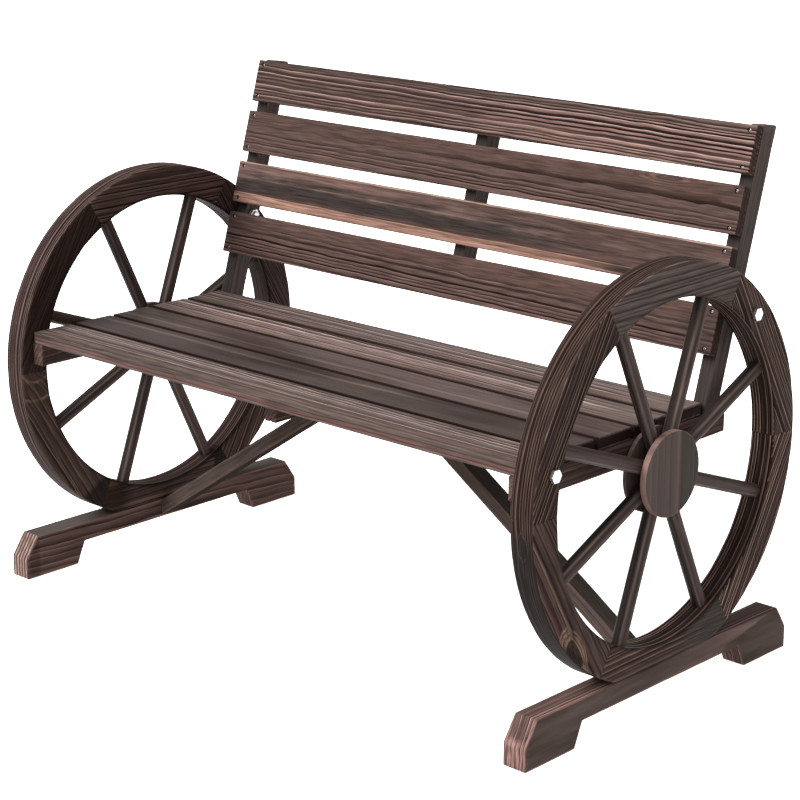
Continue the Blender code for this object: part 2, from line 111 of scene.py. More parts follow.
class Value:
    """A shader socket that takes part in Python expressions."""

    def __init__(self, graph: "Graph", socket: bpy.types.NodeSocket) -> None:
        """Wrap one output socket of a graph."""
        self.graph = graph
        self.socket = socket

    def math(self, operation: str, *others: Any) -> "Value":
        """Add a Math node on this value and others.

        Args:
            operation: the Math node's operation.
            others: its further terms, numbers or values.

        Returns:
            The node's result.
        """
        return self.graph.node("ShaderNodeMath", {"operation": operation},
                               dict(enumerate((self, *others))))

    def __add__(self, other: Any) -> "Value":
        """Add a number or a value."""
        return self.math("ADD", other)

    __radd__ = __add__

    def __sub__(self, other: Any) -> "Value":
        """Take away a number or a value."""
        return self.math("SUBTRACT", other)

    def __rsub__(self, other: float) -> "Value":
        """Take this value away from a number."""
        return self.graph.node("ShaderNodeMath", {"operation": "SUBTRACT"}, {0: other, 1: self})

    def __mul__(self, other: Any) -> "Value":
        """Multiply by a number or a value."""
        return self.math("MULTIPLY", other)

    __rmul__ = __mul__

    def __truediv__(self, other: float) -> "Value":
        """Divide by a number."""
        return self.math("DIVIDE", other)

    def root(self) -> "Value":
        """Take the square root."""
        return self.math("SQRT")

    def fraction(self) -> "Value":
        """Keep what is left after whole numbers."""
        return self.math("FRACT")

    def floor(self) -> "Value":
        """Keep the whole number."""
        return self.math("FLOOR")

    def smooth(self, low: float, high: float) -> "Value":
        """Rise smoothly from 0 at one level to 1 at another.

        Args:
            low: the level that gives 0.
            high: the level that gives 1; it may lie below the other.

        Returns:
            The share risen.
        """
        ends = {"From Min": low, "From Max": high, "To Min": 0.0, "To Max": 1.0}
        if high < low:
            ends = {"From Min": high, "From Max": low, "To Min": 1.0, "To Max": 0.0}
        return self.graph.node("ShaderNodeMapRange", {"interpolation_type": "SMOOTHSTEP"},
                               {"Value": self, **ends})


class Graph:
    """The nodes of one material."""

    def __init__(self, name: str) -> None:
        """Start a material with a bare Principled shader.

        Args:
            name: the material's name.
        """
        self.material = bpy.data.materials.new(name)
        self.material.use_nodes = True
        self.tree = self.material.node_tree

    @staticmethod
    def _socket(sockets: Any, key: int | str) -> bpy.types.NodeSocket:
        """Find a socket by its place or its identifier.

        Args:
            sockets: a node's inputs or outputs.
            key: the place or the identifier.

        Returns:
            The socket.
        """
        if isinstance(key, int):
            return sockets[key]
        return next(s for s in sockets if s.identifier == key)

    def _feed(self, socket: bpy.types.NodeSocket, value: Any) -> None:
        """Link a value to a socket, or set a number or colour on it.

        Args:
            socket: the input socket.
            value: a value to link, or a number, colour or vector to set.
        """
        if isinstance(value, Value):
            self.tree.links.new(value.socket, socket)
        elif socket.type == "RGBA":
            socket.default_value = (*value, 1.0)
        else:
            socket.default_value = value

    def node(self, kind: str, settings: dict[str, Any] | None = None,
             inputs: dict[int | str, Any] | None = None, output: int | str = 0) -> Value:
        """Add any node.

        Args:
            kind: the node's type.
            settings: its properties, set first.
            inputs: numbers, colours or values for its sockets.
            output: the socket whose value is wanted.

        Returns:
            That output.
        """
        made = self.tree.nodes.new(kind)
        for key, value in (settings or {}).items():
            setattr(made, key, value)
        for key, value in (inputs or {}).items():
            self._feed(self._socket(made.inputs, key), value)
        return Value(self, self._socket(made.outputs, output))

    def mix(self, factor: Value, first: Any, second: Any, blend: str = "MIX") -> Value:
        """Mix two colours.

        Args:
            factor: how much of the second shows.
            first: a colour or a value.
            second: a colour or a value.
            blend: how the second is laid on.

        Returns:
            The mixed colour.
        """
        return self.node("ShaderNodeMix", {"data_type": "RGBA", "blend_type": blend},
                         {"Factor_Float": factor, "A_Color": first, "B_Color": second},
                         "Result_Color")

    def speckle(self, spot: Value, pace: Triple, seed: float, detail: float = 2.0) -> Value:
        """Draw noise that may run faster across a board than along it.

        Args:
            spot: the point on the board.
            pace: features per metre along, across and through the board.
            seed: which noise is drawn.
            detail: how many finer layers it has.

        Returns:
            A value that lies around one half.
        """
        paced = self.node("ShaderNodeVectorMath", {"operation": "MULTIPLY"}, {0: spot, 1: pace})
        return self.node("ShaderNodeTexNoise", {"noise_dimensions": "4D"},
                         {"Vector": paced, "W": seed, "Scale": 1.0, "Detail": detail})

    def split(self, spot: Value) -> list[Value]:
        """Take a point apart into its places along, across and through the board."""
        return [self.node("ShaderNodeSeparateXYZ", None, {0: spot}, i) for i in range(3)]

    def mark(self, layer: str, output: str) -> Value:
        """Read what a mesh holds for each of its points."""
        return self.node("ShaderNodeAttribute", {"attribute_name": layer}, None, output)

    def luck(self, count: Value, seed: float) -> Value:
        """Draw one number for each whole step of a count."""
        return self.node("ShaderNodeTexWhiteNoise", {"noise_dimensions": "1D"},
                         {"W": count.floor() + seed})

    def scaled(self, colour: Value, by: Value) -> Value:
        """Make a colour lighter or darker."""
        tint = self.node("ShaderNodeCombineXYZ", None, {0: by, 1: by, 2: by})
        return self.node("ShaderNodeVectorMath", {"operation": "MULTIPLY"}, {0: colour, 1: tint})

    def shade(self, inputs: dict[str, Any]) -> bpy.types.Material:
        """Feed the Principled shader and give the finished material.

        Args:
            inputs: numbers, colours or values for the shader's sockets.

        Returns:
            The material.
        """
        shader = self.tree.nodes["Principled BSDF"]
        for key, value in inputs.items():
            self._feed(self._socket(shader.inputs, key), value)
        return self.material


class Axis(Enum):
    """The directions of a board's grain frame, by their place in a vector."""

    ALONG = 0
    ACROSS = 1
    THROUGH = 2


EARLY_WOOD: Colour = (0.110, 0.069, 0.060)
LATE_WOOD: Colour = (0.0150, 0.0082, 0.0072)
PINK_LINE: Colour = (0.400, 0.240, 0.200)
TAN_LINE: Colour = (0.330, 0.215, 0.155)
BRIGHT_LINE: Colour = (0.620, 0.480, 0.410)
WARM_STREAK: Colour = (0.190, 0.113, 0.095)
TAN_SAP: Colour = (0.400, 0.226, 0.170)
SOOT: Colour = (0.0105, 0.0085, 0.0078)
GREY_SOOT: Colour = (0.043, 0.036, 0.033)
GREY_WOOD: Colour = (0.100, 0.078, 0.071)
RUBBED: Colour = (0.240, 0.150, 0.127)
ROSE_END: Colour = (0.330, 0.190, 0.168)
MAUVE_WOOD: Colour = (0.112, 0.086, 0.080)
OLIVE_SHADE: Colour = (0.070, 0.060, 0.047)
RED_SHADE: Colour = (0.110, 0.048, 0.042)
WARM_UMBER: Colour = (0.094, 0.056, 0.047)
DARK_UMBER: Colour = (0.058, 0.040, 0.034)
AMBER_PATCH: Colour = (0.190, 0.105, 0.050)
BROWN_SOOT: Colour = (0.0150, 0.0080, 0.0068)
GREY_STRIP: Colour = (0.064, 0.056, 0.049)
OLIVE_EDGE: Colour = (0.047, 0.036, 0.029)
PALE_ROSE: Colour = (0.50, 0.34, 0.295)
DEEP_WOOD: Colour = (0.078, 0.047, 0.041)
LIGHT_TAN: Colour = (0.46, 0.31, 0.235)
ROSE_STAIN: Colour = (0.200, 0.098, 0.088)
END_UMBER: Colour = (0.040, 0.025, 0.022)
TOP_SHADE: Colour = (0.058, 0.040, 0.035)
FRONT_UMBER: Colour = (0.079, 0.057, 0.050)
MAUVE_LINE: Colour = (0.330, 0.230, 0.205)
SLATE_ROSE: Colour = (0.440, 0.335, 0.295)
PURPLE_WOOD: Colour = (0.103, 0.077, 0.071)
# The grey of the highlight painted along the dowels.
DOWEL_PAINTED_HIGHLIGHT: Colour = (0.330, 0.275, 0.245)
SHADED_FACE: Colour = (0.036, 0.030, 0.027)
BROWN_BAR: Colour = (0.104, 0.077, 0.066)
DULL_WOOD: Colour = (0.105, 0.078, 0.068)


@dataclass(frozen=True)
class Knot:
    """A branch knot on a board: its place, its size and how far it pushes the rings aside.

    The stretch is how much its length along the grain counts; the rim is the pale growth round it,
    whose rings darken between two shares of their width.
    """

    along: float
    aside: float
    core: float = 0.008
    rim: float = 0.006
    reach: float = 0.030
    bulge: float = 0.014
    stretch: float = 0.45
    dark: float = 0.85
    axis: Axis = Axis.ACROSS
    heart: Colour = SOOT
    show: float = 0.85
    pale_from: float = 0.30
    pale_to: float = 0.95


@dataclass(frozen=True)
class Band:
    """A stripe of another colour on a board, between two places on one of its axes.

    It wanders to the side, so many times a metre, and fades out around one place along the board.
    """

    low: float
    high: float
    colour: Colour
    strength: float = 0.8
    soft: float = 0.002
    wander: float = 0.006
    axis: Axis = Axis.ACROSS
    pace: float = 2.0
    until: float | None = None
    fade: float = 0.10


def stripes(first: float, step: float, count: int, until: float) -> tuple[Band, ...]:
    """Make a row of dark stripes near the start of a board.

    Args:
        first: where the first one lies across the board.
        step: how far apart they lie.
        count: how many there are.
        until: how far along the board they run.

    Returns:
        The stripes.
    """
    half, strength, soft, wander, fade = 0.0019, 0.80, 0.0007, 0.001, 0.002
    middles = [first + step * i for i in range(count)]
    return tuple(Band(middle - half, middle + half, LATE_WOOD, strength, soft, wander,
                      until=until, fade=fade) for middle in middles)


class Speck(Enum):
    """The noises of a board's look: which draw each is, and its pace along, across and through."""

    WANDER = (0.0, (2.4, 7.0, 7.0))
    RIPPLE = (3.1, (17.0, 55.0, 55.0))
    PATCH = (17.2, (2.6, 16.0, 16.0))
    COMING = (7.7, (1.9, 24.0, 24.0))
    KNOT_EDGE = (2.3, (40.0, 120.0, 120.0))
    KNOT_BREAK = (8.8, (28.0, 70.0, 70.0))

    def __init__(self, draw: float, pace: Triple) -> None:
        """Keep the draw and the pace."""
        self.draw = draw
        self.pace = pace


# Draws whose pace comes from the board or the band.
DRIFT_DRAW = 1.7
FIBRE_DRAW = 11.3
STREAK_DRAW = 5.9
GLOW_DRAW = 0.5

# Year rings: a noise lies around its middle, and shares of the sway and the ring count follow.
MIDDLE = 0.5
RIPPLE_SHARE = 0.28
DEEP_SHARE = 0.6
UNEVEN_PACE = 0.37
UNEVEN_REACH = 2.0

# Levels between which a noise or a share of a ring turns a colour on or off.
LATE_END: Levels = (0.94, 1.0)
GLOW_END: Levels = (0.26, 0.02)
GLOW_LUCK: Levels = (0.15, 0.65)
COMING_LEVELS: Levels = (0.28, 0.62)
WARM_LEVELS: Levels = (0.50, 0.74)
SCORCH_LEVELS: Levels = (0.47, 0.70)
BARE_LEVELS: Levels = (0.32, 0.60)
BREAK_LEVELS: Levels = (0.40, 0.60)

# How strong a line is: always, by each ring's luck and where it comes and goes.
LATE_ALWAYS, LATE_LUCK, LATE_COMING = 0.35, 0.40, 0.25
GLOW_ALWAYS, GLOW_COMING = 0.35, 0.65
RIM_ALWAYS, RIM_BROKEN = 0.25, 0.75

# Knots: shares of the rim and the core over which they fade, and their own growth rings.
EDGE_SHARE = 0.5
RIM_FADE: Levels = (1.1, 0.8)
HEART_FADE: Levels = (1.08, 0.90)
GROWTH_SHARE = 0.38
GROWTH_DARK = 0.75

# Fibres, and the relief and roughness that they and the lines leave.
FIBRE_DETAIL = 3.0
STREAK_PACE = 3.2
STREAK_SHARE = 0.42
BUMP_STRENGTH = 0.5
BUMP_DEPTH = 0.0007
LATE_RELIEF, FIBRE_RELIEF = 0.8, 0.4
LATE_ROUGH, FIBRE_ROUGH = 0.10, 0.14


@dataclass(frozen=True)
class ScorchedBoard:
    """A softwood board, scorched, brushed and oiled, and how it lay in its tree.

    The pith is the tree's heart, across and through the board from its middle; drift is how far
    it runs out of line per metre; ring is the spacing of the year rings and sway their wander.
    Late wood is dark and starts at a share of each ring, over a ramp; the glow is the pale line
    behind it. Fuzz is how much the fibres show, and patchy how far the worn arrises come and go.
    Bands lie under these lines and washes over them.
    """

    name: str
    seed: float
    pith: tuple[float, float] = (0.20, 0.10)
    drift: tuple[float, float] = (0.012, 0.0)
    ring: float = 0.0050
    sway: float = 0.012
    late_from: float = 0.36
    ramp: float = 0.50
    early: Colour = EARLY_WOOD
    late: Colour = LATE_WOOD
    pale: Colour = PINK_LINE
    warm: Colour = WARM_STREAK
    char: Colour = SOOT
    worn: Colour = RUBBED
    tone: float = 1.0
    lines: float = 0.95
    glow: float = 0.55
    warmth: float = 0.40
    scorch: float = 0.40
    wear: float = 0.55
    soot_and_gap_shade: float = 0.80
    patchy: float = 1.0
    fuzz: float = 2.1
    roughness: float = 0.50
    gloss: float = 0.02
    grain: Triple = (24.0, 430.0, 430.0)
    bands: tuple[Band, ...] = ()
    washes: tuple[Band, ...] = ()
    knot: Knot | None = None

    def material(self) -> bpy.types.Material:
        """Give the board's material, made once."""
        return bpy.data.materials.get(self.name) or self._make()

    def _speck(self, graph: Graph, spot: Value, speck: Speck) -> Value:
        """Draw one of the board's noises."""
        return graph.speckle(spot, speck.pace, self.seed + speck.draw)

    def _rings(self, graph: Graph, spot: Value) -> Value:
        """Measure how far each point lies from the heart, in rings.

        Args:
            graph: the material's nodes.
            spot: the point on the board.

        Returns:
            The count of rings, with the board's wander and its knot.
        """
        along, across, through = graph.split(spot)
        wander = (self._speck(graph, spot, Speck.WANDER) - MIDDLE) * self.sway
        ripple = (self._speck(graph, spot, Speck.RIPPLE) - MIDDLE) * (self.sway * RIPPLE_SHARE)
        sideways = across + along * self.drift[0] + (wander - self.pith[0])
        deep = through + along * self.drift[1] + (wander * DEEP_SHARE - self.pith[1])
        radius = (sideways * sideways + deep * deep).root() + ripple
        if self.knot:
            near = self._knot_distance(graph, spot).smooth(self.knot.reach, 0.0)
            radius = radius + near * near * self.knot.bulge
        count = radius / self.ring
        uneven = graph.node("ShaderNodeTexNoise", {"noise_dimensions": "1D"},
                            {"W": count * UNEVEN_PACE + self.seed, "Scale": 1.0, "Detail": 1.0})
        return count + uneven * UNEVEN_REACH

    def _knot_distance(self, graph: Graph, spot: Value) -> Value:
        """Measure how far each point lies from the board's knot, drawn out along the grain.

        Args:
            graph: the material's nodes.
            spot: the point on the board.

        Returns:
            The distance from the knot's middle.
        """
        places = graph.split(spot)
        lengthwise = (places[0] - self.knot.along) * self.knot.stretch
        sideways = places[self.knot.axis.value] - self.knot.aside
        return (lengthwise * lengthwise + sideways * sideways).root()

    def _banded(self, graph: Graph, spot: Value, colour: Any, streak: Value,
                bands: tuple[Band, ...]) -> Any:
        """Lay stripes over the board's colour.

        Args:
            graph: the material's nodes.
            spot: the point on the board.
            colour: the colour so far.
            streak: noise that makes the stripes' edges wander.
            bands: the stripes.

        Returns:
            The striped colour.
        """
        places = graph.split(spot)
        for band in bands:
            drift = graph.speckle(spot, (band.pace, 0.0, 0.0), self.seed + DRIFT_DRAW) - MIDDLE
            place = (places[band.axis.value] + (streak - MIDDLE) * (band.wander * EDGE_SHARE)
                     + drift * band.wander)
            inside = (place.smooth(band.low - band.soft, band.low + band.soft)
                      - place.smooth(band.high - band.soft, band.high + band.soft))
            if band.until is not None:
                inside = inside * places[0].smooth(band.until + band.fade, band.until - band.fade)
            colour = graph.mix(inside * band.strength, colour, band.colour)
        return colour

    def _knotted(self, graph: Graph, spot: Value, colour: Any, streak: Value) -> Any:
        """Lay the board's knot over its colour.

        Args:
            graph: the material's nodes.
            spot: the point on the board.
            colour: the colour so far.
            streak: noise that roughens the knot's edge.

        Returns:
            The colour with the knot.
        """
        core, rim = self.knot.core, self.knot.rim
        rough = self._speck(graph, spot, Speck.KNOT_EDGE)
        distance = self._knot_distance(graph, spot) + (streak + rough - 1.0) * (core * EDGE_SHARE)
        broken = self._speck(graph, spot, Speck.KNOT_BREAK).smooth(*BREAK_LEVELS)
        inside = distance.smooth(*(core + rim * share for share in RIM_FADE))
        growth = ((distance - core) / (rim * GROWTH_SHARE)).fraction()
        darker = growth.smooth(self.knot.pale_from, self.knot.pale_to)
        grown = graph.mix(darker * GROWTH_DARK, self.pale, self.late)
        shown = inside * (RIM_ALWAYS + RIM_BROKEN * broken) * self.knot.show
        colour = graph.mix(shown, colour, grown)
        heart = distance.smooth(*(core * share for share in HEART_FADE))
        return graph.mix(heart * self.knot.dark, colour, self.knot.heart)

    def _make(self) -> bpy.types.Material:
        """Build the material's nodes.

        Returns:
            The material.
        """
        graph = Graph(self.name)
        spot = graph.mark(BOARD_LAYER, "Vector")
        fibre = graph.speckle(spot, self.grain, self.seed + FIBRE_DRAW, FIBRE_DETAIL)
        drawn_out = (STREAK_PACE, STREAK_SHARE * self.grain[1], STREAK_SHARE * self.grain[2])
        streak = graph.speckle(spot, drawn_out, self.seed + STREAK_DRAW)
        patch = self._speck(graph, spot, Speck.PATCH)
        pale, late = self._lines(graph, spot)
        colour = graph.mix(streak.smooth(*WARM_LEVELS) * self.warmth, self.early, self.warm)
        colour = self._banded(graph, spot, colour, streak, self.bands)
        colour = graph.mix(patch.smooth(*SCORCH_LEVELS) * self.scorch, colour, self.char)
        colour = graph.mix(pale, colour, self.pale)
        bare = streak.smooth(*BARE_LEVELS) * self.patchy + (1.0 - self.patchy)
        rubbed = graph.mark(WEAR_LAYER, "Fac") * bare * self.wear
        colour = graph.mix(rubbed, colour, self.worn)
        colour = graph.mix(late, colour, self.late)
        colour = self._banded(graph, spot, colour, streak, self.washes)
        if self.knot:
            colour = self._knotted(graph, spot, colour, streak)
        # Burnt faces darken here, and so do the seat slats' sides along the gaps, as painted shade.
        colour = graph.mix(graph.mark(CHAR_AND_GAP_SHADE_LAYER, "Fac") * self.soot_and_gap_shade, colour, self.char)
        colour = graph.scaled(colour, self.tone * (1.0 + self.fuzz * (fibre - MIDDLE)))
        relief = late * LATE_RELIEF + fibre * FIBRE_RELIEF
        bump = graph.node("ShaderNodeBump", None, {"Strength": BUMP_STRENGTH,
                                                   "Distance": BUMP_DEPTH, "Height": relief})
        rough = self.roughness + LATE_ROUGH * late + FIBRE_ROUGH * (fibre - MIDDLE)
        return graph.shade({"Base Color": colour, "Roughness": rough, "Normal": bump,
                            "Specular IOR Level": self.gloss})

    def _lines(self, graph: Graph, spot: Value) -> tuple[Value, Value]:
        """Draw the pale line and the dark late wood of each year ring.

        Args:
            graph: the material's nodes.
            spot: the point on the board.

        Returns:
            How much of the pale line and of the late wood shows.
        """
        count = self._rings(graph, spot)
        phase = count.fraction()
        coming = self._speck(graph, spot, Speck.COMING).smooth(*COMING_LEVELS)
        glow = phase.smooth(*GLOW_END) * graph.luck(count, self.seed + GLOW_DRAW).smooth(*GLOW_LUCK)
        pale = glow * (GLOW_ALWAYS + GLOW_COMING * coming) * self.glow
        luck = LATE_LUCK * graph.luck(count, self.seed)
        dark = phase.smooth(self.late_from, self.late_from + self.ramp) - phase.smooth(*LATE_END)
        late = dark * (LATE_ALWAYS + luck + LATE_COMING * coming) * self.lines
        return pale, late


@dataclass(frozen=True)
class ZincPlate:
    """Zinc plating on steel, faintly mottled."""

    name: str
    bright: Colour
    dull: Colour
    mottle_pace: Triple = (420.0, 420.0, 420.0)
    mottle_draw: float = 2.0
    dull_levels: Levels = (0.35, 0.70)
    polish: float = 0.24
    unevenness: float = 0.24
    metallic: float = 0.85

    def material(self) -> bpy.types.Material:
        """Give the plating's material, made once."""
        return bpy.data.materials.get(self.name) or self._make()

    def _make(self) -> bpy.types.Material:
        """Build the material's nodes.

        Returns:
            The material.
        """
        graph = Graph(self.name)
        spot = graph.node("ShaderNodeTexCoord", None, None, "Object")
        mottle = graph.speckle(spot, self.mottle_pace, self.mottle_draw)
        colour = graph.mix(mottle.smooth(*self.dull_levels), self.bright, self.dull)
        return graph.shade({"Base Color": colour, "Metallic": self.metallic,
                            "Roughness": self.polish + self.unevenness * mottle})


@dataclass(frozen=True)
class FloorFinish:
    """A plain pale studio floor."""

    name: str = "pale_floor"
    colour: Colour = (0.93, 0.93, 0.93)
    roughness: float = 0.9

    def material(self) -> bpy.types.Material:
        """Build the floor's material."""
        return Graph(self.name).shade({"Base Color": self.colour, "Roughness": self.roughness,
                                       "Specular IOR Level": 0.0})


BOLT_ZINC = ZincPlate("bolt_zinc", (0.66, 0.63, 0.625), (0.50, 0.475, 0.47))
NUT_ZINC = ZincPlate("nut_zinc", (0.62, 0.60, 0.59), (0.06, 0.055, 0.05))
SCREW_ZINC = ZincPlate("screw_zinc", (0.52, 0.48, 0.46), (0.06, 0.052, 0.048))


class Face(Flag):
    """The long sides of a piece, as its section shows them."""

    NONE = 0
    LEFT = auto()
    RIGHT = auto()
    BOTTOM = auto()
    TOP = auto()


@dataclass
class Ring:
    """A closed ring of points round a piece, with the wear and the darkening of each."""

    points: list[Vector]
    wear: list[float]
    char: list[float]

    @classmethod
    def even(cls, points: Sequence[Vector], wear: float = 0.0) -> "Ring":
        """Make a ring that is worn alike all round and is not darkened."""
        return cls(list(points), [wear] * len(points), [0.0] * len(points))


@dataclass(frozen=True)
class Section:
    """The rectangle that a piece shows where it is sawn across, and which sides are darkened."""

    left: float
    right: float
    bottom: float
    top: float
    charred_and_gap_shaded: Face = Face.NONE

    @property
    def least(self) -> float:
        """Give the shorter of the two sides."""
        return min(self.right - self.left, self.top - self.bottom)

    def shrunk(self, by: float) -> "Section":
        """Pull all four sides in."""
        return Section(self.left + by, self.right - by, self.bottom + by, self.top - by,
                       self.charred_and_gap_shaded)

    def ring(self, ease: float, at: Placer, worn: float = 0.0, char: float = 0.0) -> Ring:
        """Walk round the section, with eased corners and a narrow margin beside each.

        Args:
            ease: the radius of the corners.
            at: gives a point of the piece from its two places in the section.
            worn: the least wear that a point gets.
            char: the least darkening that a point gets.

        Returns:
            The ring of points.
        """
        margin = min(FLAT_RUN * ease, MARGIN_SHARE * self.least)
        corners = ((self.right, self.bottom, -QUARTER, Face.BOTTOM, Face.RIGHT),
                   (self.right, self.top, 0, Face.RIGHT, Face.TOP),
                   (self.left, self.top, QUARTER, Face.TOP, Face.LEFT),
                   (self.left, self.bottom, 2 * QUARTER, Face.LEFT, Face.BOTTOM))
        made = Ring([], [], [])
        for x, y, start, earlier, later in corners:
            centre_x = x - math.copysign(ease, x - (self.left + self.right) / 2)
            centre_y = y - math.copysign(ease, y - (self.bottom + self.top) / 2)
            for step in range(-1, CORNER_STEPS + 2):
                on_arc = min(max(step, 0), CORNER_STEPS)
                turn = math.radians(start + QUARTER * on_arc / CORNER_STEPS)
                aside = margin * (step - on_arc)
                place = (centre_x + ease * math.cos(turn) - aside * math.sin(turn),
                         centre_y + ease * math.sin(turn) + aside * math.cos(turn))
                wear = 0.0
                if step == on_arc:
                    wear = 1.0 - ARRIS_FADE * abs(2 * step / CORNER_STEPS - 1)
                sides = earlier | later if step == on_arc else earlier if step < 0 else later
                near = SOOT_AND_GAP_SHADE_SPREAD if (earlier | later) & self.charred_and_gap_shaded else 0.0
                made.points.append(self._weathered(at, place, wear))
                made.wear.append(max(worn, wear))
                made.char.append(1.0 if sides & self.charred_and_gap_shaded else max(char, near))
        return made

    def _weathered(self, at: Placer, place: tuple[float, float], wear: float) -> Vector:
        """Place a point a hair inwards, as planing, brushing and knocks leave it.

        Args:
            at: gives a point of the piece from its two places in the section.
            place: the point's own two places.
            wear: how far it lies on an arris.

        Returns:
            The point as weathered.
        """
        point = at(*place)
        broad = noise.noise(Vector(place * pace for place, pace in zip(point, HOLLOW_PACE)))
        along, across, through = (place * pace for place, pace in zip(point, DENT_PACE))
        knock = noise.noise(Vector((along, across + DENT_DRAW, through))) - DENT_LEVEL
        depth = HOLLOW_DEPTH * (1 + broad) + DENT_DEPTH * max(0.0, knock) * wear
        inward = at((self.left + self.right) / 2, (self.bottom + self.top) / 2) - point
        inward.x = 0.0
        return point + inward.normalized() * depth


def skin(rings: Sequence[Ring], closed: bool = False) -> bmesh.types.BMesh:
    """Join rings of points into one closed skin.

    Args:
        rings: the rings, each with the same number of points.
        closed: whether the last ring meets the first; otherwise both ends are capped.

    Returns:
        The skin, with the wear and the darkening of each point in layers.
    """
    body = bmesh.new()
    worn = body.verts.layers.float.new(WEAR_LAYER)
    sooty_and_gap_shaded = body.verts.layers.float.new(CHAR_AND_GAP_SHADE_LAYER)
    rows = []
    for ring in rings:
        row = [body.verts.new(p) for p in ring.points]
        for vertex, wear, char in zip(row, ring.wear, ring.char):
            vertex[worn] = wear
            vertex[sooty_and_gap_shaded] = char
        rows.append(row)
    pairs = list(zip(rows, rows[1:]))
    if closed:
        pairs.append((rows[-1], rows[0]))
    else:
        body.faces.new(rows[0])
        body.faces.new(rows[-1])
    for row, following in pairs:
        count = len(row)
        for i in range(count):
            j = (i + 1) % count
            body.faces.new((row[i], row[j], following[j], following[i]))
    bmesh.ops.recalc_face_normals(body, faces=body.faces)
    return body


def end_steps(ease: float) -> list[tuple[float, float]]:
    """List the setback and inset of the rings that round off an end, outermost last."""
    turns = [math.pi / 2 * k / CORNER_STEPS for k in range(CORNER_STEPS + 1)]
    return [(ease * (1 - math.sin(t)), ease * END_SHARE * (1 - math.cos(t))) for t in turns]


@dataclass(frozen=True)
class Plank:
    """A straight piece with eased arrises: its section, its two ends and how they are cut.

    A slant is how much further an end reaches for each metre across and through the piece.
    """

    section: Section
    start: float
    end: float
    ease: float = 0.0016
    start_ease: float = 0.0012
    end_ease: float = 0.0012
    end_char: float = 0.6
    start_slant: tuple[float, float] = (0.0, 0.0)
    end_slant: tuple[float, float] = (0.0, 0.0)

    def _placer(self, place: float) -> Placer:
        """Give the placer of the ring at one distance along the plank.

        Args:
            place: the distance.

        Returns:
            What gives a point of the ring from its two places in the section.
        """
        share = (place - self.start) / (self.end - self.start)

        def at(a: float, b: float) -> Vector:
            """Place a point of the ring, run out towards the slanted ends.

            Args:
                a: its place across the plank.
                b: its place through the plank.

            Returns:
                The point.
            """
            first = self.start_slant[0] * a + self.start_slant[1] * b
            last = self.end_slant[0] * a + self.end_slant[1] * b
            return Vector((place + first * (1 - share) + last * share, a, b))

        return at

    def _end_rings(self, end: float, ease: float, inward: int) -> list[Ring]:
        """Round off one end.

        Args:
            end: where the end lies.
            ease: the radius that it is rounded to.
            inward: which way along the plank its middle lies.

        Returns:
            The rings from the end's middle out to its arris.
        """
        deep = min(FLAT_RUN * ease, END_MARGIN_SHARE * self.section.least)
        face = self.section.shrunk(deep)
        rings = [face.ring(self.ease * END_FACE_EASE, self._placer(end), 0.0, self.end_char)]
        for setback, inset in reversed(end_steps(ease)):
            corner = max(self.ease * END_LEAST_EASE, self.ease - inset)
            at = self._placer(end + inward * setback)
            rings.append(self.section.shrunk(inset).ring(corner, at, END_WEAR))
        return rings

    def skin(self) -> bmesh.types.BMesh:
        """Skin the plank.

        Returns:
            Its closed skin, in the grain's frame.
        """
        first = self.start + self.start_ease * (1 + FLAT_RUN)
        run = self.end - self.end_ease * (1 + FLAT_RUN) - first
        count = max(2, round(run / STATION))
        stations = [self._placer(first + run * i / count) for i in range(count + 1)]
        rings = self._end_rings(self.start, self.start_ease, 1)
        rings += [self.section.ring(self.ease, at) for at in stations]
        rings += reversed(self._end_rings(self.end, self.end_ease, -1))
        return skin(rings)


def frame_of(along: Vector, across: Vector, origin: Vector) -> Matrix:
    """Make a grain frame from the directions along and across a board.

    Args:
        along: the direction of the grain.
        across: the direction across the board.
        origin: where the frame stands.

    Returns:
        The frame.
    """
    through = along.cross(across)
    turn = Matrix((along, across, through)).transposed()
    return Matrix.Translation(origin) @ turn.to_4x4()


def lay(name: str, body: bmesh.types.BMesh, frame: Matrix, material: bpy.types.Material,
        node: str | None = None) -> bpy.types.Object:
    """Turn a skin into a piece of the bench.

    Args:
        name: the piece's name.
        body: its skin, in its own frame.
        frame: where that frame stands.
        material: its finish.
        node: the frame's node that it stands for.

    Returns:
        The piece, turned as the bench is, with its origin at its frame's.
    """
    origin = Matrix.Translation(frame.translation)
    bmesh.ops.transform(body, matrix=origin.inverted() @ frame, verts=body.verts)
    mesh = bpy.data.meshes.new(name)
    body.to_mesh(mesh)
    body.free()
    mesh.shade_smooth()
    mesh.set_sharp_from_angle(angle=SMOOTH_ANGLE)
    mesh.materials.append(material)
    piece = bpy.data.objects.new(name, mesh)
    bpy.context.scene.collection.objects.link(piece)
    piece.matrix_world = origin
    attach(piece, BODY)
    if node:
        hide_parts(node)
    log.info("%s: %d faces", name, len(mesh.polygons))
    return piece


def mark_board(piece: bpy.types.Object, frame: Matrix, cut: Triple) -> None:
    """Note on each point of a piece where it lay on its board.

    Args:
        piece: the piece.
        frame: its grain's frame.
        cut: where on the board the piece was sawn.
    """
    to_board = Matrix.Translation(Vector(cut)) @ frame.inverted() @ piece.matrix_world
    mesh = piece.data
    places = [to_board @ vertex.co for vertex in mesh.vertices]
    layer = mesh.attributes.new(BOARD_LAYER, "FLOAT_VECTOR", "CORNER")
    spots = [places[loop.vertex_index] for loop in mesh.loops]
    layer.data.foreach_set("vector", [number for spot in spots for number in spot])


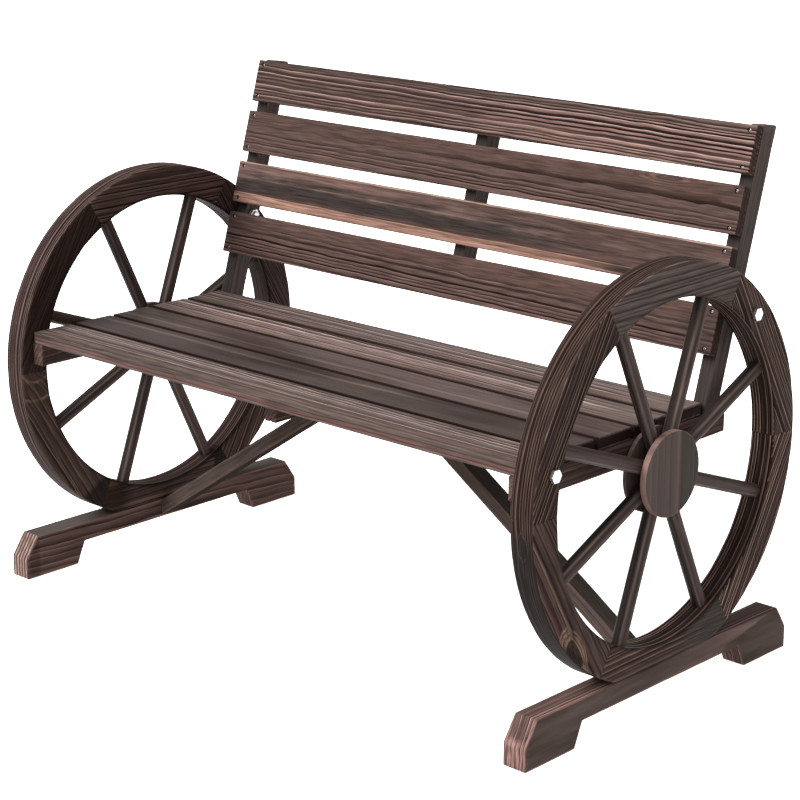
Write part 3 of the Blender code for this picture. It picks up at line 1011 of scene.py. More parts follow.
def lay_wood(node: str, body: bmesh.types.BMesh, frame: Matrix, board: ScorchedBoard,
             cut: Triple = (0.0, 0.0, 0.0), holes: Sequence[Vector] = ()) -> bpy.types.Object:
    """Lay a wooden piece over the node that it stands for.

    Args:
        node: the frame's node.
        body: the piece's skin, in its grain's frame.
        frame: where that frame stands.
        board: the board that it was sawn from.
        cut: where on the board it was sawn.
        holes: the middles of the screw holes in its upper face, in its grain's frame.

    Returns:
        The piece.
    """
    piece = lay(f"brushed_{node}", body, frame, board.material(), node)
    if holes:
        SCREW.countersink(piece, frame, holes)
        SCREW.drive(f"{node}_screws", frame, holes)
    mark_board(piece, frame, cut)
    return piece


X_AXIS = Vector((1, 0, 0))
Y_AXIS = Vector((0, 1, 0))
Z_AXIS = Vector((0, 0, 1))

FELLOE_BOARDS = {
    Side.RIGHT: (
        ScorchedBoard(
            "felloe_right_1", 1.3, ring=0.0046, pith=(0.25, 0.10), tone=1.06, scorch=0.35,
            pale=LIGHT_TAN, glow=1.2, lines=1.15, late_from=0.14, sway=0.006, soot_and_gap_shade=0.6
        ),
        ScorchedBoard(
            "felloe_right_2", 2.1, ring=0.0066, pith=(0.25, 0.05), tone=1.47, scorch=0.2,
            early=GREY_WOOD, sway=0.006, glow=0.15, lines=1.0, late_from=0.48, ramp=0.30, soot_and_gap_shade=0.6
        ),
        ScorchedBoard(
            "felloe_right_3", 3.7, ring=0.0054, pith=(0.24, 0.12), tone=0.80, scorch=0.2,
            pale=LIGHT_TAN, glow=1.1, late_from=0.10, sway=0.006, soot_and_gap_shade=0.6
        ),
        ScorchedBoard(
            "felloe_right_4", 4.4, ring=0.0085, pith=(0.14, 0.06), tone=1.04, scorch=0.3,
            sway=0.010, pale=TAN_LINE, soot_and_gap_shade=0.6, glow=0.8,
            knot=Knot(0.074, 0.009, core=0.0110, rim=0.010, stretch=0.42),
            bands=(
                Band(0.004, 0.020, RED_SHADE, strength=0.45, soft=0.003),
                Band(-0.0035, 0.0015, TAN_LINE, strength=0.45, soft=0.002),
                Band(-0.0120, -0.0050, SOOT, strength=0.55, soft=0.003),
            )
        ),
        ScorchedBoard(
            "felloe_right_5", 5.9, ring=0.0058, pith=(0.20, 0.10), tone=1.06, scorch=0.2,
            pale=TAN_LINE, glow=1.0, late_from=0.16, sway=0.008, soot_and_gap_shade=0.6,
            washes=(
                Band(
                    0.045, 0.200, GREY_STRIP, strength=0.75, soft=0.020, wander=0.0,
                    axis=Axis.ALONG
                ),
            )
        ),
        ScorchedBoard(
            "felloe_right_6", 6.2, ring=0.0056, pith=(0.22, 0.10), tone=1.42, scorch=0.1,
            early=DEEP_WOOD, pale=LIGHT_TAN, glow=1.5, lines=1.2, warmth=0.5, late_from=0.14,
            sway=0.007, soot_and_gap_shade=0.6
        ),
    ),
    Side.LEFT: (
        ScorchedBoard("felloe_left_1", 11.3, ring=0.0055, tone=0.58, scorch=0.6),
        ScorchedBoard(
            "felloe_left_2", 12.8, ring=0.0070, pith=(0.25, 0.05), tone=1.06, scorch=0.2,
            lines=1.30, glow=1.1, late_from=0.40, ramp=0.24, sway=0.008
        ),
        ScorchedBoard(
            "felloe_left_3", 13.2, ring=0.0060, tone=0.46, scorch=0.6, glow=0.30, lines=0.8,
            early=WARM_UMBER
        ),
        ScorchedBoard(
            "felloe_left_4", 14.6, ring=0.0085, pith=(0.12, 0.08), tone=0.92, scorch=0.4,
            pale=TAN_LINE, sway=0.018,
            knot=Knot(
                -0.1450, -0.0444, core=0.0025, rim=0.0763, reach=0.075, stretch=1.0, dark=0.9,
                show=0.95, pale_from=0.03, pale_to=0.24
            ),
            washes=(
                Band(0.0040, 0.0052, TAN_LINE, strength=0.60, soft=0.0006, wander=0.004),
                Band(0.105, 0.200, SOOT, strength=0.80, soft=0.006, wander=0.0, axis=Axis.ALONG),
            )
        ),
        ScorchedBoard(
            "felloe_left_5", 15.5, ring=0.0070, pith=(0.2, 0.08), tone=0.76, scorch=0.3,
            pale=TAN_LINE, glow=0.8,
            washes=(
                Band(
                    -0.200, -0.102, AMBER_PATCH, strength=0.55, soft=0.008, wander=0.010,
                    axis=Axis.ALONG
                ),
                Band(-0.042, 0.060, LATE_WOOD, strength=0.75, soft=0.004, until=-0.085, fade=0.02),
                # A dark wash over the felloe from 0.103 m along to its end.
                Band(0.103, 0.200, SOOT, strength=0.85, soft=0.003, wander=0.006, axis=Axis.ALONG),
            )
        ),
        ScorchedBoard(
            "felloe_left_6", 16.9, ring=0.0055, tone=0.86, scorch=0.3, glow=1.1, late_from=0.24
        ),
    ),
}
TREAD_BOARDS = {
    Side.RIGHT: ScorchedBoard(
        "tread_right", 7.5, pith=(0.02, 0.30), ring=0.0044, sway=0.007, tone=0.50,
        drift=(0.0, 0.006), scorch=0.30, glow=0.85, late_from=0.14, wear=0.35, soot_and_gap_shade=0.10,
        pale=TAN_LINE,
        washes=(
            Band(0.915, 1.190, GREY_SOOT, strength=0.85, soft=0.020, wander=0.0, axis=Axis.ALONG),
        ),
        knot=Knot(
            0.930, 0.0, core=0.0075, rim=0.0012, bulge=0.004, dark=1.0, axis=Axis.THROUGH,
            heart=GREY_SOOT, show=0.35
        )
    ),
    Side.LEFT: ScorchedBoard(
        "tread_left", 17.5, pith=(0.02, 0.30), ring=0.0052, sway=0.007, tone=0.67,
        drift=(0.0, -0.006), scorch=0.4, glow=1.1, late_from=0.18, wear=0.35, soot_and_gap_shade=0.45,
        pale=MAUVE_LINE
    ),
}
BORE_BOARDS = {
    Side.RIGHT: ScorchedBoard(
        "bore_right", 8.5, pith=(0.02, 0.30), ring=0.0050, sway=0.006, tone=1.00, scorch=0.25,
        glow=1.5, lines=1.2, late_from=0.14, wear=0.35, soot_and_gap_shade=0.10, early=DEEP_WOOD, pale=LIGHT_TAN
    ),
    Side.LEFT: ScorchedBoard(
        "bore_left", 18.5, pith=(0.02, 0.30), ring=0.0056, sway=0.007, tone=0.58, scorch=0.4,
        glow=0.8, late_from=0.18, wear=0.35, soot_and_gap_shade=0.40,
        washes=(
            Band(-0.010, 0.150, GREY_WOOD, strength=0.80, soft=0.02, wander=0.0, axis=Axis.ALONG),
        )
    ),
}
DOWEL_BOARD = ScorchedBoard(
    "dowel_stock", 21.0, pith=(0.09, 0.02), ring=0.0070, tone=0.67, scorch=0.5, lines=0.3,
    glow=0.15, gloss=0.10, sway=0.008, warmth=0.25, fuzz=1.6,
    bands=(
        # Painted shade: a dark stripe down one side of every dowel.
        Band(-0.0120, -0.0040, SOOT, strength=0.80, soft=0.0020, wander=0.004, axis=Axis.THROUGH),
        # Painted highlight: a grey stripe along every dowel.
        Band(
            -0.0016, 0.0014, DOWEL_PAINTED_HIGHLIGHT, strength=0.70, soft=0.0014, wander=0.005,
            axis=Axis.THROUGH
        ),
    )
)
HUB_BOARD = ScorchedBoard(
    "hub_stock", 23.0, pith=(0.30, 0.06), ring=0.0130, tone=1.45, scorch=0.2, lines=0.2, glow=0.1,
    sway=0.004, early=GREY_WOOD, wear=0.74, patchy=0.6, worn=ROSE_END, grain=(5.0, 70.0, 70.0),
    fuzz=1.1,
    bands=(
        Band(-0.080, -0.0480, OLIVE_SHADE, strength=0.8, soft=0.002, wander=0.003),
        Band(-0.0275, -0.0185, RED_SHADE, strength=0.35, soft=0.002, wander=0.003),
        Band(0.0070, 0.0150, PINK_LINE, strength=0.14, soft=0.002, wander=0.003),
        Band(0.0158, 0.080, GREY_STRIP, strength=1.0, soft=0.0008, wander=0.001),
    )
)
INNER_HUB_BOARD = ScorchedBoard(
    "hub_inner_stock", 24.0, pith=(0.30, 0.06), ring=0.0130, tone=1.05, scorch=0.2, lines=0.2,
    glow=0.1, sway=0.004, early=GREY_WOOD, wear=0.0, grain=(5.0, 70.0, 70.0), fuzz=1.0
)
RUNNER_BOARDS = {
    Side.RIGHT: ScorchedBoard(
        "runner_right", 25.0, pith=(0.40, 0.020), ring=0.0068, tone=1.12, sway=0.005, scorch=0.30,
        lines=1.1, wear=0.95, worn=ROSE_END, late_from=0.54, glow=1.2, grain=(9.0, 430.0, 70.0),
        washes=(
            Band(-0.100, -0.0178, DULL_WOOD, strength=0.72, soft=0.0006, wander=0.0),
            Band(0.0178, 0.100, DULL_WOOD, strength=0.72, soft=0.0006, wander=0.0),
        )
    ),
    Side.LEFT: ScorchedBoard(
        "runner_left", 29.0, pith=(0.40, 0.170), ring=0.0034, tone=1.26, sway=0.008, scorch=0.25,
        lines=1.0, wear=0.95, patchy=0.4, worn=ROSE_END, late_from=0.42, glow=0.7,
        grain=(9.0, 430.0, 120.0),
        washes=(
            Band(-0.100, -0.0178, WARM_UMBER, strength=0.35, soft=0.0006, wander=0.0),
            Band(0.0178, 0.100, WARM_UMBER, strength=0.35, soft=0.0006, wander=0.0),
            Band(
                0.0655, 0.100, GREY_STRIP, strength=0.85, soft=0.0004, wander=0.0,
                axis=Axis.THROUGH
            ),
            Band(
                -0.0182, 0.0182, PALE_ROSE, strength=0.45, soft=0.0004, wander=0.0, until=-0.267,
                fade=0.002
            ),
            *stripes(-0.0170, 0.0066, 6, -0.267),
        )
    ),
}
BAR_BOARD = ScorchedBoard(
    "bar_stock", 27.0, pith=(0.25, 0.12), ring=0.0046, tone=1.12, scorch=0.20, early=BROWN_BAR,
    lines=0.22, glow=0.10, warmth=0.3, sway=0.006, fuzz=1.5, wear=0.8, patchy=0.4, gloss=0.0,
    washes=(
        Band(
            -0.030, -0.0214, SHADED_FACE, strength=0.75, soft=0.0004, wander=0.0, axis=Axis.THROUGH
        ),
        Band(
            -0.0005, 0.0005, GREY_STRIP, strength=0.75, soft=0.0003, wander=0.0, axis=Axis.THROUGH
        ),
    )
)
RAIL_BOARD = ScorchedBoard(
    "rail_stock", 26.0, pith=(0.09, 0.06), ring=0.0070, tone=0.85, scorch=0.20, lines=0.6, glow=0.4
)
POST_BOARD = ScorchedBoard(
    "post_stock", 28.0, pith=(0.12, 0.05), ring=0.0060, tone=1.06, scorch=0.35, early=GREY_WOOD,
    lines=0.32, glow=0.06, warmth=0.2, fuzz=1.6,
    washes=(
        Band(
            -0.010, 0.0008, SHADED_FACE, strength=0.80, soft=0.0004, wander=0.0, axis=Axis.THROUGH
        ),
    )
)
# Near-black walls of the screw holes: painted shade in the recesses.
HOLE_SHADE_BOARD = ScorchedBoard("screw_hole_shade", 46.0, tone=0.22, lines=0.3, glow=0.0, wear=0.0)
SEAT_STREAK = Band(-0.0123, -0.0114, BRIGHT_LINE, strength=0.50, soft=0.0005, wander=0.0016)
SEAT_FRONT_SHADE = Band(-0.0400, -0.0128, OLIVE_EDGE, strength=0.72, soft=0.0010, wander=0.003)
SEAT_SMUDGE = Band(
    -0.0240, -0.0190, ROSE_STAIN, strength=0.45, soft=0.0030, wander=0.030, pace=5.0
)
SEAT_DULL_END = Band(
    0.380, 0.600, DULL_WOOD, strength=0.70, soft=0.050, wander=0.0, axis=Axis.ALONG
)
SEAT_BOARDS = (
    ScorchedBoard(
        "seat_board_1", 31.0, pith=(0.090, -0.090), ring=0.0062, tone=1.52, scorch=0.30, glow=1.1,
        lines=0.80, gloss=0.03, soot_and_gap_shade=1.0, early=MAUVE_WOOD, char=BROWN_SOOT, pale=SLATE_ROSE,
        late_from=0.30, sway=0.016, wear=0.10,
        washes=(
            SEAT_FRONT_SHADE,
            SEAT_STREAK,
            SEAT_SMUDGE,
            Band(
                -0.0300, 0.0076, FRONT_UMBER, strength=0.80, soft=0.0005, wander=0.0,
                axis=Axis.THROUGH
            ),
            Band(
                0.0026, 0.0042, LATE_WOOD, strength=0.60, soft=0.0008, wander=0.012,
                axis=Axis.THROUGH, pace=5.0
            ),
            Band(
                -0.0022, 0.0010, RED_SHADE, strength=0.75, soft=0.0010, wander=0.014,
                axis=Axis.THROUGH, pace=5.0
            ),
            Band(
                -0.0040, -0.0022, LATE_WOOD, strength=0.5, soft=0.0008, wander=0.012,
                axis=Axis.THROUGH, pace=7.0
            ),
            Band(
                -0.0064, -0.0044, ROSE_STAIN, strength=0.35, soft=0.0008, wander=0.010,
                axis=Axis.THROUGH, pace=7.0
            ),
        )
    ),
    ScorchedBoard(
        "seat_board_2", 32.0, pith=(0.010, -0.080), ring=0.0060, tone=0.90, scorch=0.60,
        lines=0.16, early=PURPLE_WOOD, glow=0.05, warmth=0.12, fuzz=0.8, gloss=0.03, soot_and_gap_shade=1.0,
        char=BROWN_SOOT, wear=0.3,
        bands=(
            # Painted sheen: a soft pale stripe from the slat's left end, fading out about 0.22 m
            # right of its middle.
            Band(
                0.0130, 0.0190, BRIGHT_LINE, strength=0.22, soft=0.0036, wander=0.026, pace=3.0,
                until=0.22, fade=0.08
            ),
        )
    ),
    ScorchedBoard(
        "seat_board_3", 33.0, pith=(-0.020, -0.070), ring=0.0060, tone=1.34, scorch=0.62,
        lines=0.26, early=PURPLE_WOOD, glow=0.15, warmth=0.25, fuzz=1.0, gloss=0.03, soot_and_gap_shade=1.0,
        char=BROWN_SOOT, wear=0.3,
        bands=(
            Band(-0.60, -0.12, DARK_UMBER, strength=0.55, soft=0.10, wander=0.0, axis=Axis.ALONG),
            Band(-0.014, -0.009, BRIGHT_LINE, strength=0.12, soft=0.003, wander=0.016),
        )
    ),
    ScorchedBoard(
        "seat_board_4", 34.0, pith=(0.060, -0.070), ring=0.0054, tone=1.72, scorch=0.38, glow=0.9,
        lines=1.0, gloss=0.03, soot_and_gap_shade=1.0, early=MAUVE_WOOD, char=BROWN_SOOT, pale=SLATE_ROSE,
        bands=(
            Band(-0.026, 0.004, PINK_LINE, strength=0.20, soft=0.010, wander=0.008),
            Band(
                0.006, 0.012, ROSE_STAIN, strength=0.5, soft=0.002, wander=0.010, until=-0.05,
                fade=0.12
            ),
        ),
        washes=(SEAT_DULL_END,)
    ),
    ScorchedBoard(
        "seat_board_5", 35.0, pith=(0.090, -0.090), ring=0.0062, tone=1.80, scorch=0.28,
        pale=SLATE_ROSE, glow=1.2, lines=1.1, gloss=0.03, soot_and_gap_shade=1.0, early=MAUVE_WOOD,
        char=BROWN_SOOT,
        bands=(
            Band(
                -0.002, 0.008, ROSE_STAIN, strength=0.5, soft=0.004, wander=0.010, until=-0.22,
                fade=0.12
            ),
        ),
        washes=(SEAT_FRONT_SHADE, SEAT_STREAK, SEAT_SMUDGE, SEAT_DULL_END)
    ),
)
PLAIN_HALF = Band(0.009, 0.060, WARM_UMBER, strength=0.86, soft=0.008, wander=0.010)
LEFT_HAZE = Band(
    -0.700, -0.060, EARLY_WOOD, strength=0.26, soft=0.150, wander=0.0, axis=Axis.ALONG
)
BACK_BOARDS = (
    ScorchedBoard(
        "back_board_1", 41.0, pith=(0.20, -0.06), ring=0.0058, scorch=0.15, glow=1.05, tone=1.06,
        warmth=0.6, sway=0.016, late_from=0.36, ramp=0.24, lines=1.34, pale=PALE_ROSE,
        char=END_UMBER, soot_and_gap_shade=0.9,
        bands=(
            Band(0.02, 0.70, PINK_LINE, strength=0.32, soft=0.15, wander=0.0, axis=Axis.ALONG),
        ),
        washes=(LEFT_HAZE, Band(0.0225, 0.060, TOP_SHADE, strength=0.62, soft=0.004, wander=0.008))
    ),
    ScorchedBoard(
        "back_board_2", 42.0, pith=(0.024, -0.052), ring=0.0039, tone=0.95, scorch=0.05, glow=0.5,
        warmth=0.25, sway=0.012, late_from=0.42, ramp=0.24, lines=1.15, char=END_UMBER, soot_and_gap_shade=0.9,
        washes=(PLAIN_HALF, LEFT_HAZE),
        knot=Knot(0.36, 0.029, core=0.004, rim=0.008, stretch=0.16, dark=0.35, show=0.15)
    ),
    ScorchedBoard(
        "back_board_3", 43.0, pith=(0.010, -0.060), ring=0.0095, tone=0.88, scorch=0.12, lines=0.6,
        bands=(
            Band(
                -0.014, 0.016, GREY_SOOT, strength=0.85, soft=0.003, wander=0.005, until=0.18,
                fade=0.14
            ),
            Band(
                0.0064, 0.0084, PINK_LINE, strength=0.30, soft=0.0012, wander=0.010, until=0.12,
                fade=0.20
            ),
            Band(
                0.0118, 0.0136, LATE_WOOD, strength=0.45, soft=0.0010, wander=0.010, until=0.20,
                fade=0.20
            ),
            Band(-0.0056, -0.0040, LATE_WOOD, strength=0.40, soft=0.0010, wander=0.012),
            Band(
                0.0190, 0.0275, PINK_LINE, strength=0.25, soft=0.003, wander=0.012, until=-0.10,
                fade=0.20
            ),
            Band(-0.050, -0.0180, GREY_SOOT, strength=0.70, soft=0.0012, wander=0.012),
            Band(
                -0.050, -0.0180, TAN_SAP, strength=0.92, soft=0.0006, wander=0.012, until=0.26,
                fade=0.07
            ),
            Band(-0.0180, -0.0160, RED_SHADE, strength=0.70, soft=0.0008, wander=0.012),
        ),
        washes=(
            Band(0.0305, 0.0328, LIGHT_TAN, strength=0.75, soft=0.0005, wander=0.002),
            Band(-0.0196, -0.0184, LIGHT_TAN, strength=0.60, soft=0.0005, wander=0.012),
            Band(-0.0262, -0.0252, WARM_UMBER, strength=0.60, soft=0.0005, wander=0.012),
        )
    ),
    ScorchedBoard(
        "back_board_4", 44.0, pith=(0.028, -0.052), ring=0.0039, tone=0.92, scorch=0.05, glow=0.45,
        warmth=0.2, sway=0.011, late_from=0.42, ramp=0.24, lines=1.12, char=END_UMBER, soot_and_gap_shade=0.9,
        washes=(
            PLAIN_HALF,
            # Painted shade: the right end of this slat is darkened where the wheel shades it.
            Band(0.440, 0.600, DARK_UMBER, strength=0.55, soft=0.030, wander=0.0, axis=Axis.ALONG),
        )
    ),
)


@dataclass(frozen=True)
class Screw:
    """A small countersunk wood screw with a cross recess, and the hole that it sits in."""

    radius: float = 0.0020
    sink: float = 0.0015
    rim: float = 0.0032
    floor: float = 0.0023
    depth: float = 0.0026
    proud: float = 0.001
    hole_sides: int = 24
    sides: int = 48
    neck_depth: float = 0.0009
    neck_share: float = 0.5
    edge_depth: float = 0.0002
    face_share: float = 0.96
    lip: float = 0.0001
    arm_share: float = 0.62
    slot_share: float = 0.16
    recess_depth: float = 0.0008
    recess_share: float = 0.55

    def countersink(self, piece: bpy.types.Object, frame: Matrix, spots: Sequence[Vector]) -> None:
        """Sink conical holes into a piece.

        Args:
            piece: the piece, whose mesh is replaced by the drilled one.
            frame: its grain's frame.
            spots: the middles of the holes, on the piece's upper face in that frame.
        """
        body = bmesh.new()
        slope = (self.rim - self.floor) / self.depth
        mouth = self.rim + slope * self.proud
        for spot in spots:
            drill = Matrix.Translation(spot + Vector((0, 0, (self.proud - self.depth) / 2)))
            bmesh.ops.create_cone(body, cap_ends=True, segments=self.hole_sides, radius1=self.floor,
                                  radius2=mouth, depth=self.depth + self.proud, matrix=drill)
        mesh = bpy.data.meshes.new("countersink")
        body.to_mesh(mesh)
        body.free()
        # The hole walls take the near-black finish: painted shade in the recess.
        mesh.materials.append(HOLE_SHADE_BOARD.material())
        tool = bpy.data.objects.new("countersink", mesh)
        bpy.context.scene.collection.objects.link(tool)
        tool.matrix_world = frame
        step = piece.modifiers.new("countersink", "BOOLEAN")
        step.operation = "DIFFERENCE"
        step.solver = "EXACT"
        step.material_mode = "TRANSFER"
        step.object = tool
        view = bpy.context.evaluated_depsgraph_get()
        drilled = bpy.data.meshes.new_from_object(piece.evaluated_get(view))
        piece.modifiers.remove(step)
        drilled.set_sharp_from_angle(angle=SMOOTH_ANGLE)
        piece.data = drilled
        bpy.data.objects.remove(tool, do_unlink=True)

    def drive(self, name: str, frame: Matrix, spots: Sequence[Vector]) -> None:
        """Lay a row of screws into their holes as one piece.

        Args:
            name: the row's name.
            frame: the grain's frame of what they sit in.
            spots: the middles of the holes, in that frame.
        """
        body = bmesh.new()
        for spot in spots:
            head = self._head(spot - Vector((0, 0, self.sink)))
            mesh = bpy.data.meshes.new("screw")
            head.to_mesh(mesh)
            head.free()
            body.from_mesh(mesh)
            bpy.data.meshes.remove(mesh)
        lay(name, body, frame, SCREW_ZINC.material())

    def _cross(self, turn: float) -> float:
        """Give the radius of the cross recess at one angle.

        Args:
            turn: the angle.

        Returns:
            The radius.
        """
        arm, half, least = self.radius * self.arm_share, self.radius * self.slot_share, 1e-6
        cosine, sine = max(least, abs(math.cos(turn))), max(least, abs(math.sin(turn)))
        return max(min(arm / cosine, half / sine), min(half / cosine, arm / sine))

    def _head(self, spot: Vector) -> bmesh.types.BMesh:
        """Skin one screw head.

        Args:
            spot: the middle of its face.

        Returns:
            Its closed skin.
        """
        turns = [2 * math.pi * i / self.sides for i in range(self.sides)]

        def ring(level: float, reach: Callable[[float], float]) -> Ring:
            """Make a ring about the screw's axis from its radius at each angle."""
            return Ring.even([spot + Vector((reach(t) * math.cos(t), reach(t) * math.sin(t), level))
                              for t in turns])

        return skin([ring(-self.neck_depth, lambda t: self.radius * self.neck_share),
                     ring(-self.edge_depth, lambda t: self.radius),
                     ring(0.0, lambda t: self.radius * self.face_share),
                     ring(self.lip, self._cross),
                     ring(-self.recess_depth, lambda t: self.recess_share * self._cross(t))])


SCREW = Screw()


@dataclass(frozen=True)
class Wheel:
    """A wagon wheel: six felloes, eight dowel spokes and two hub plates."""

    side: Side
    centre: Vector
    radius: float
    thickness: float
    flat_radius: float
    rim_depth: float = 0.0485
    felloe_count: int = 6
    spoke_count: int = 8
    spoke_start: float = math.radians(25.1)
    spoke_bite: float = 0.006
    spoke_clear: float = 0.006
    spoke_steps: int = 12
    spoke_sides: int = 32
    spoke_wobble: float = 0.0002
    wobble_pace: Levels = (14, 1.3)
    spoke_cut: float = 0.6
    ease: float = 0.0018
    least_ease: float = 0.0004
    joint_ease: float = 0.0005
    joint_inset: float = 0.004
    flat_reach: float = 1.2
    tread_share: float = 0.75
    arc_step: float = math.radians(2.0)
    hub_ease: float = 0.0006
    hub_steps: int = 4
    hub_sides: int = 72
    hub_back_share: float = 0.45
    hub_face_share: float = 0.5
    hub_face_margin: float = 1.6
    hub_back_ease: Levels = (0.002, 0.0008)
    hub_edge_wear: Levels = (0.8, 0.9)
    hub_cut: float = 0.4

    @classmethod
    def measured(cls, side: Side) -> "Wheel":
        """Measure a wheel in the frame.

        Args:
            side: the end of the bench that it stands at.

        Returns:
            The wheel.
        """
        boxes = [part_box(f"{side.tag}_felloe_{i}") for i in (1, 2, 3, 4, 6)]
        low_y = min(low.y for low, _ in boxes)
        high_y = max(high.y for _, high in boxes)
        low_x, high_x = boxes[0][0].x, boxes[0][1].x
        radius = (high_y - low_y) / 2
        top = max(high.z for _, high in boxes)
        centre = Vector(((low_x + high_x) / 2, (low_y + high_y) / 2, top - radius))
        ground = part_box(f"{side.tag}_runner")[1].z + FIT_GAP
        return cls(side, centre, radius, high_x - low_x, centre.z - ground)

    def build(self) -> None:
        """Build every piece of the wheel."""
        for number in range(1, self.felloe_count + 1):
            self._felloe(number)
        for number in range(1, self.spoke_count + 1):
            self._spoke(number)
        self._hub_plate("hub_outer", self.side.value, HUB_BOARD)
        self._hub_plate("hub_inner", -self.side.value, INNER_HUB_BOARD)

    def _felloe(self, number: int) -> None:
        """Build one rim segment with its grain along the chord.

        Args:
            number: its place, counted from the rear upwards.
        """
        span = 2 * math.pi / self.felloe_count
        middle = span * (number - 0.5)
        bore = self.radius - self.rim_depth
        centre_line = (self.radius + bore) / 2
        half = self.thickness / 2

        def station(angle: float, inset: float = 0.0) -> Ring:
            """Make the ring of the rim at one angle.

            Args:
                angle: the angle about the axle, from the rear upwards.
                inset: how far the section is pulled in.

            Returns:
                The ring.
            """
            away = abs(math.remainder(angle + math.pi / 2, 2 * math.pi))
            rim = min(self.radius, self.flat_radius / math.cos(min(away, self.flat_reach)))
            turn = angle - middle

            def at(a: float, b: float) -> Vector:
                """Place a point from its radius and its place across the rim."""
                return Vector((a * math.sin(turn), a * math.cos(turn) - centre_line, b))

            section = Section(bore, rim, -half, half, Face.LEFT).shrunk(inset)
            return section.ring(max(self.ease - inset, self.least_ease), at)

        gap = FIT_GAP / 2 / centre_line
        start, end = middle - span / 2 + gap, middle + span / 2 - gap
        steps = [(setback / centre_line, inset) for setback, inset in end_steps(self.joint_ease)]
        inner = self.joint_ease * (1 + FLAT_RUN) / centre_line
        run = end - start - 2 * inner
        count = math.ceil(run / self.arc_step)
        rings = [station(start, self.joint_inset)]
        rings += [station(start + setback, inset) for setback, inset in reversed(steps)]
        rings += [station(start + inner + run * i / count) for i in range(count + 1)]
        rings += [station(end - setback, inset) for setback, inset in steps]
        rings.append(station(end, self.joint_inset))
        radial = Vector((0, math.cos(middle), math.sin(middle)))
        tangent = Vector((0, -math.sin(middle), math.cos(middle)))
        frame = frame_of(tangent, radial, self.centre + radial * centre_line)
        piece = lay_wood(f"{self.side.tag}_felloe_{number}", skin(rings), frame,
                         FELLOE_BOARDS[self.side][number - 1])
        self._dress_tread(piece, middle)

    def _dress_tread(self, piece: bpy.types.Object, middle: float) -> None:
        """Give a felloe's tread and bore a finish whose grain follows the rim.

        Args:
            piece: the felloe.
            middle: the angle of its middle.
        """
        mesh = piece.data
        mesh.materials.append(TREAD_BOARDS[self.side].material())
        mesh.materials.append(BORE_BOARDS[self.side].material())
        layer = mesh.attributes[BOARD_LAYER]
        places = [piece.matrix_world @ vertex.co - self.centre for vertex in mesh.vertices]
        for face in mesh.polygons:
            spots = [places[i] for i in face.vertices]
            out = sum(spots, Vector()) * Vector((0, 1, 1))
            facing = face.normal.dot(out.normalized())
            if abs(facing) < self.tread_share:
                continue
            face.material_index = 1 if facing > 0 else 2
            for corner, spot in zip(face.loop_indices, spots):
                turn = middle + math.remainder(math.atan2(spot.z, spot.y) - middle, 2 * math.pi)
                height = math.hypot(spot.y, spot.z) - self.radius
                layer.data[corner].vector = (turn * self.radius, height, spot.x)

    def _spoke(self, number: int) -> None:
        """Build one dowel spoke, from the hub to a little way into the rim.

        Args:
            number: its place, counted from the rear upwards.
        """
        node = f"{self.side.tag}_spoke_{number}"
        low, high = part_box(node)
        half = (high.x - low.x) / 2
        angle = self.spoke_start + 2 * math.pi * (number - 1) / self.spoke_count
        start = half / math.tan(math.pi / self.spoke_count) + self.spoke_clear
        end = self.radius - self.rim_depth + self.spoke_bite
        way = math.copysign(1.0, math.sin(angle))
        direction = Vector((0, math.cos(angle), math.sin(angle))) * way
        across = (X_AXIS - direction.cross(X_AXIS)).normalized()
        steps = self.spoke_steps
        places = [start + (end - start) * i / steps for i in range(steps + 1)]
        rings = [self._dowel_ring(way * place, half) for place in places]
        lay_wood(node, skin(rings), frame_of(direction, across, self.centre), DOWEL_BOARD,
                 (self.spoke_cut * number * self.side.value, 0.0, 0.0))

    def _dowel_ring(self, along: float, radius: float) -> Ring:
        """Make one ring of a dowel, very slightly out of round.

        Args:
            along: its place along the dowel.
            radius: the dowel's radius.

        Returns:
            The ring.
        """
        points = []
        lengthwise, round_about = self.wobble_pace
        for i in range(self.spoke_sides):
            turn = 2 * math.pi * i / self.spoke_sides
            spot = Vector((along * lengthwise, math.cos(turn) * round_about,
                           math.sin(turn) * round_about))
            reach = radius - self.spoke_wobble * (1 + noise.noise(spot))
            points.append(Vector((along, reach * math.cos(turn), reach * math.sin(turn))))
        return Ring.even(points)

    def _hub_plate(self, label: str, outward: int, board: ScorchedBoard) -> None:
        """Build one turned hub plate with a crisp edge.

        Args:
            label: the plate's name in the frame.
            outward: which way along X its show face looks.
            board: the board that it is turned from.
        """
        node = f"{self.side.tag}_{label}"
        low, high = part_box(node)
        radius = (high.z - low.z) / 2
        face = (high.x if outward > 0 else low.x) - self.centre.x
        spoke_low, spoke_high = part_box(f"{self.side.tag}_spoke_1")
        back = outward * ((spoke_high.x - spoke_low.x) / 2 + FIT_GAP)
        ease = self.hub_ease
        inset, rise = self.hub_back_ease
        near_wear, far_wear = self.hub_edge_wear
        profile = [(back, radius * self.hub_back_share, 0.0), (back, radius - inset, 0.0),
                   (back + outward * rise, radius, near_wear),
                   ((back + face) / 2, radius, far_wear)]
        for step in range(self.hub_steps + 1):
            turn = math.pi / 2 * step / self.hub_steps
            profile.append((face - outward * ease * (1 - math.sin(turn)),
                            radius - ease * (1 - math.cos(turn)), 1.0))
        profile += [(face, radius - ease * self.hub_face_margin, 0.0),
                    (face, radius * self.hub_face_share, 0.0)]
        rings = [self._plate_ring(distance, out, worn) for out, distance, worn in profile]
        lay_wood(node, skin(rings), frame_of(Z_AXIS, Y_AXIS, self.centre), board,
                 (self.hub_cut * outward, 0.0, 0.0))

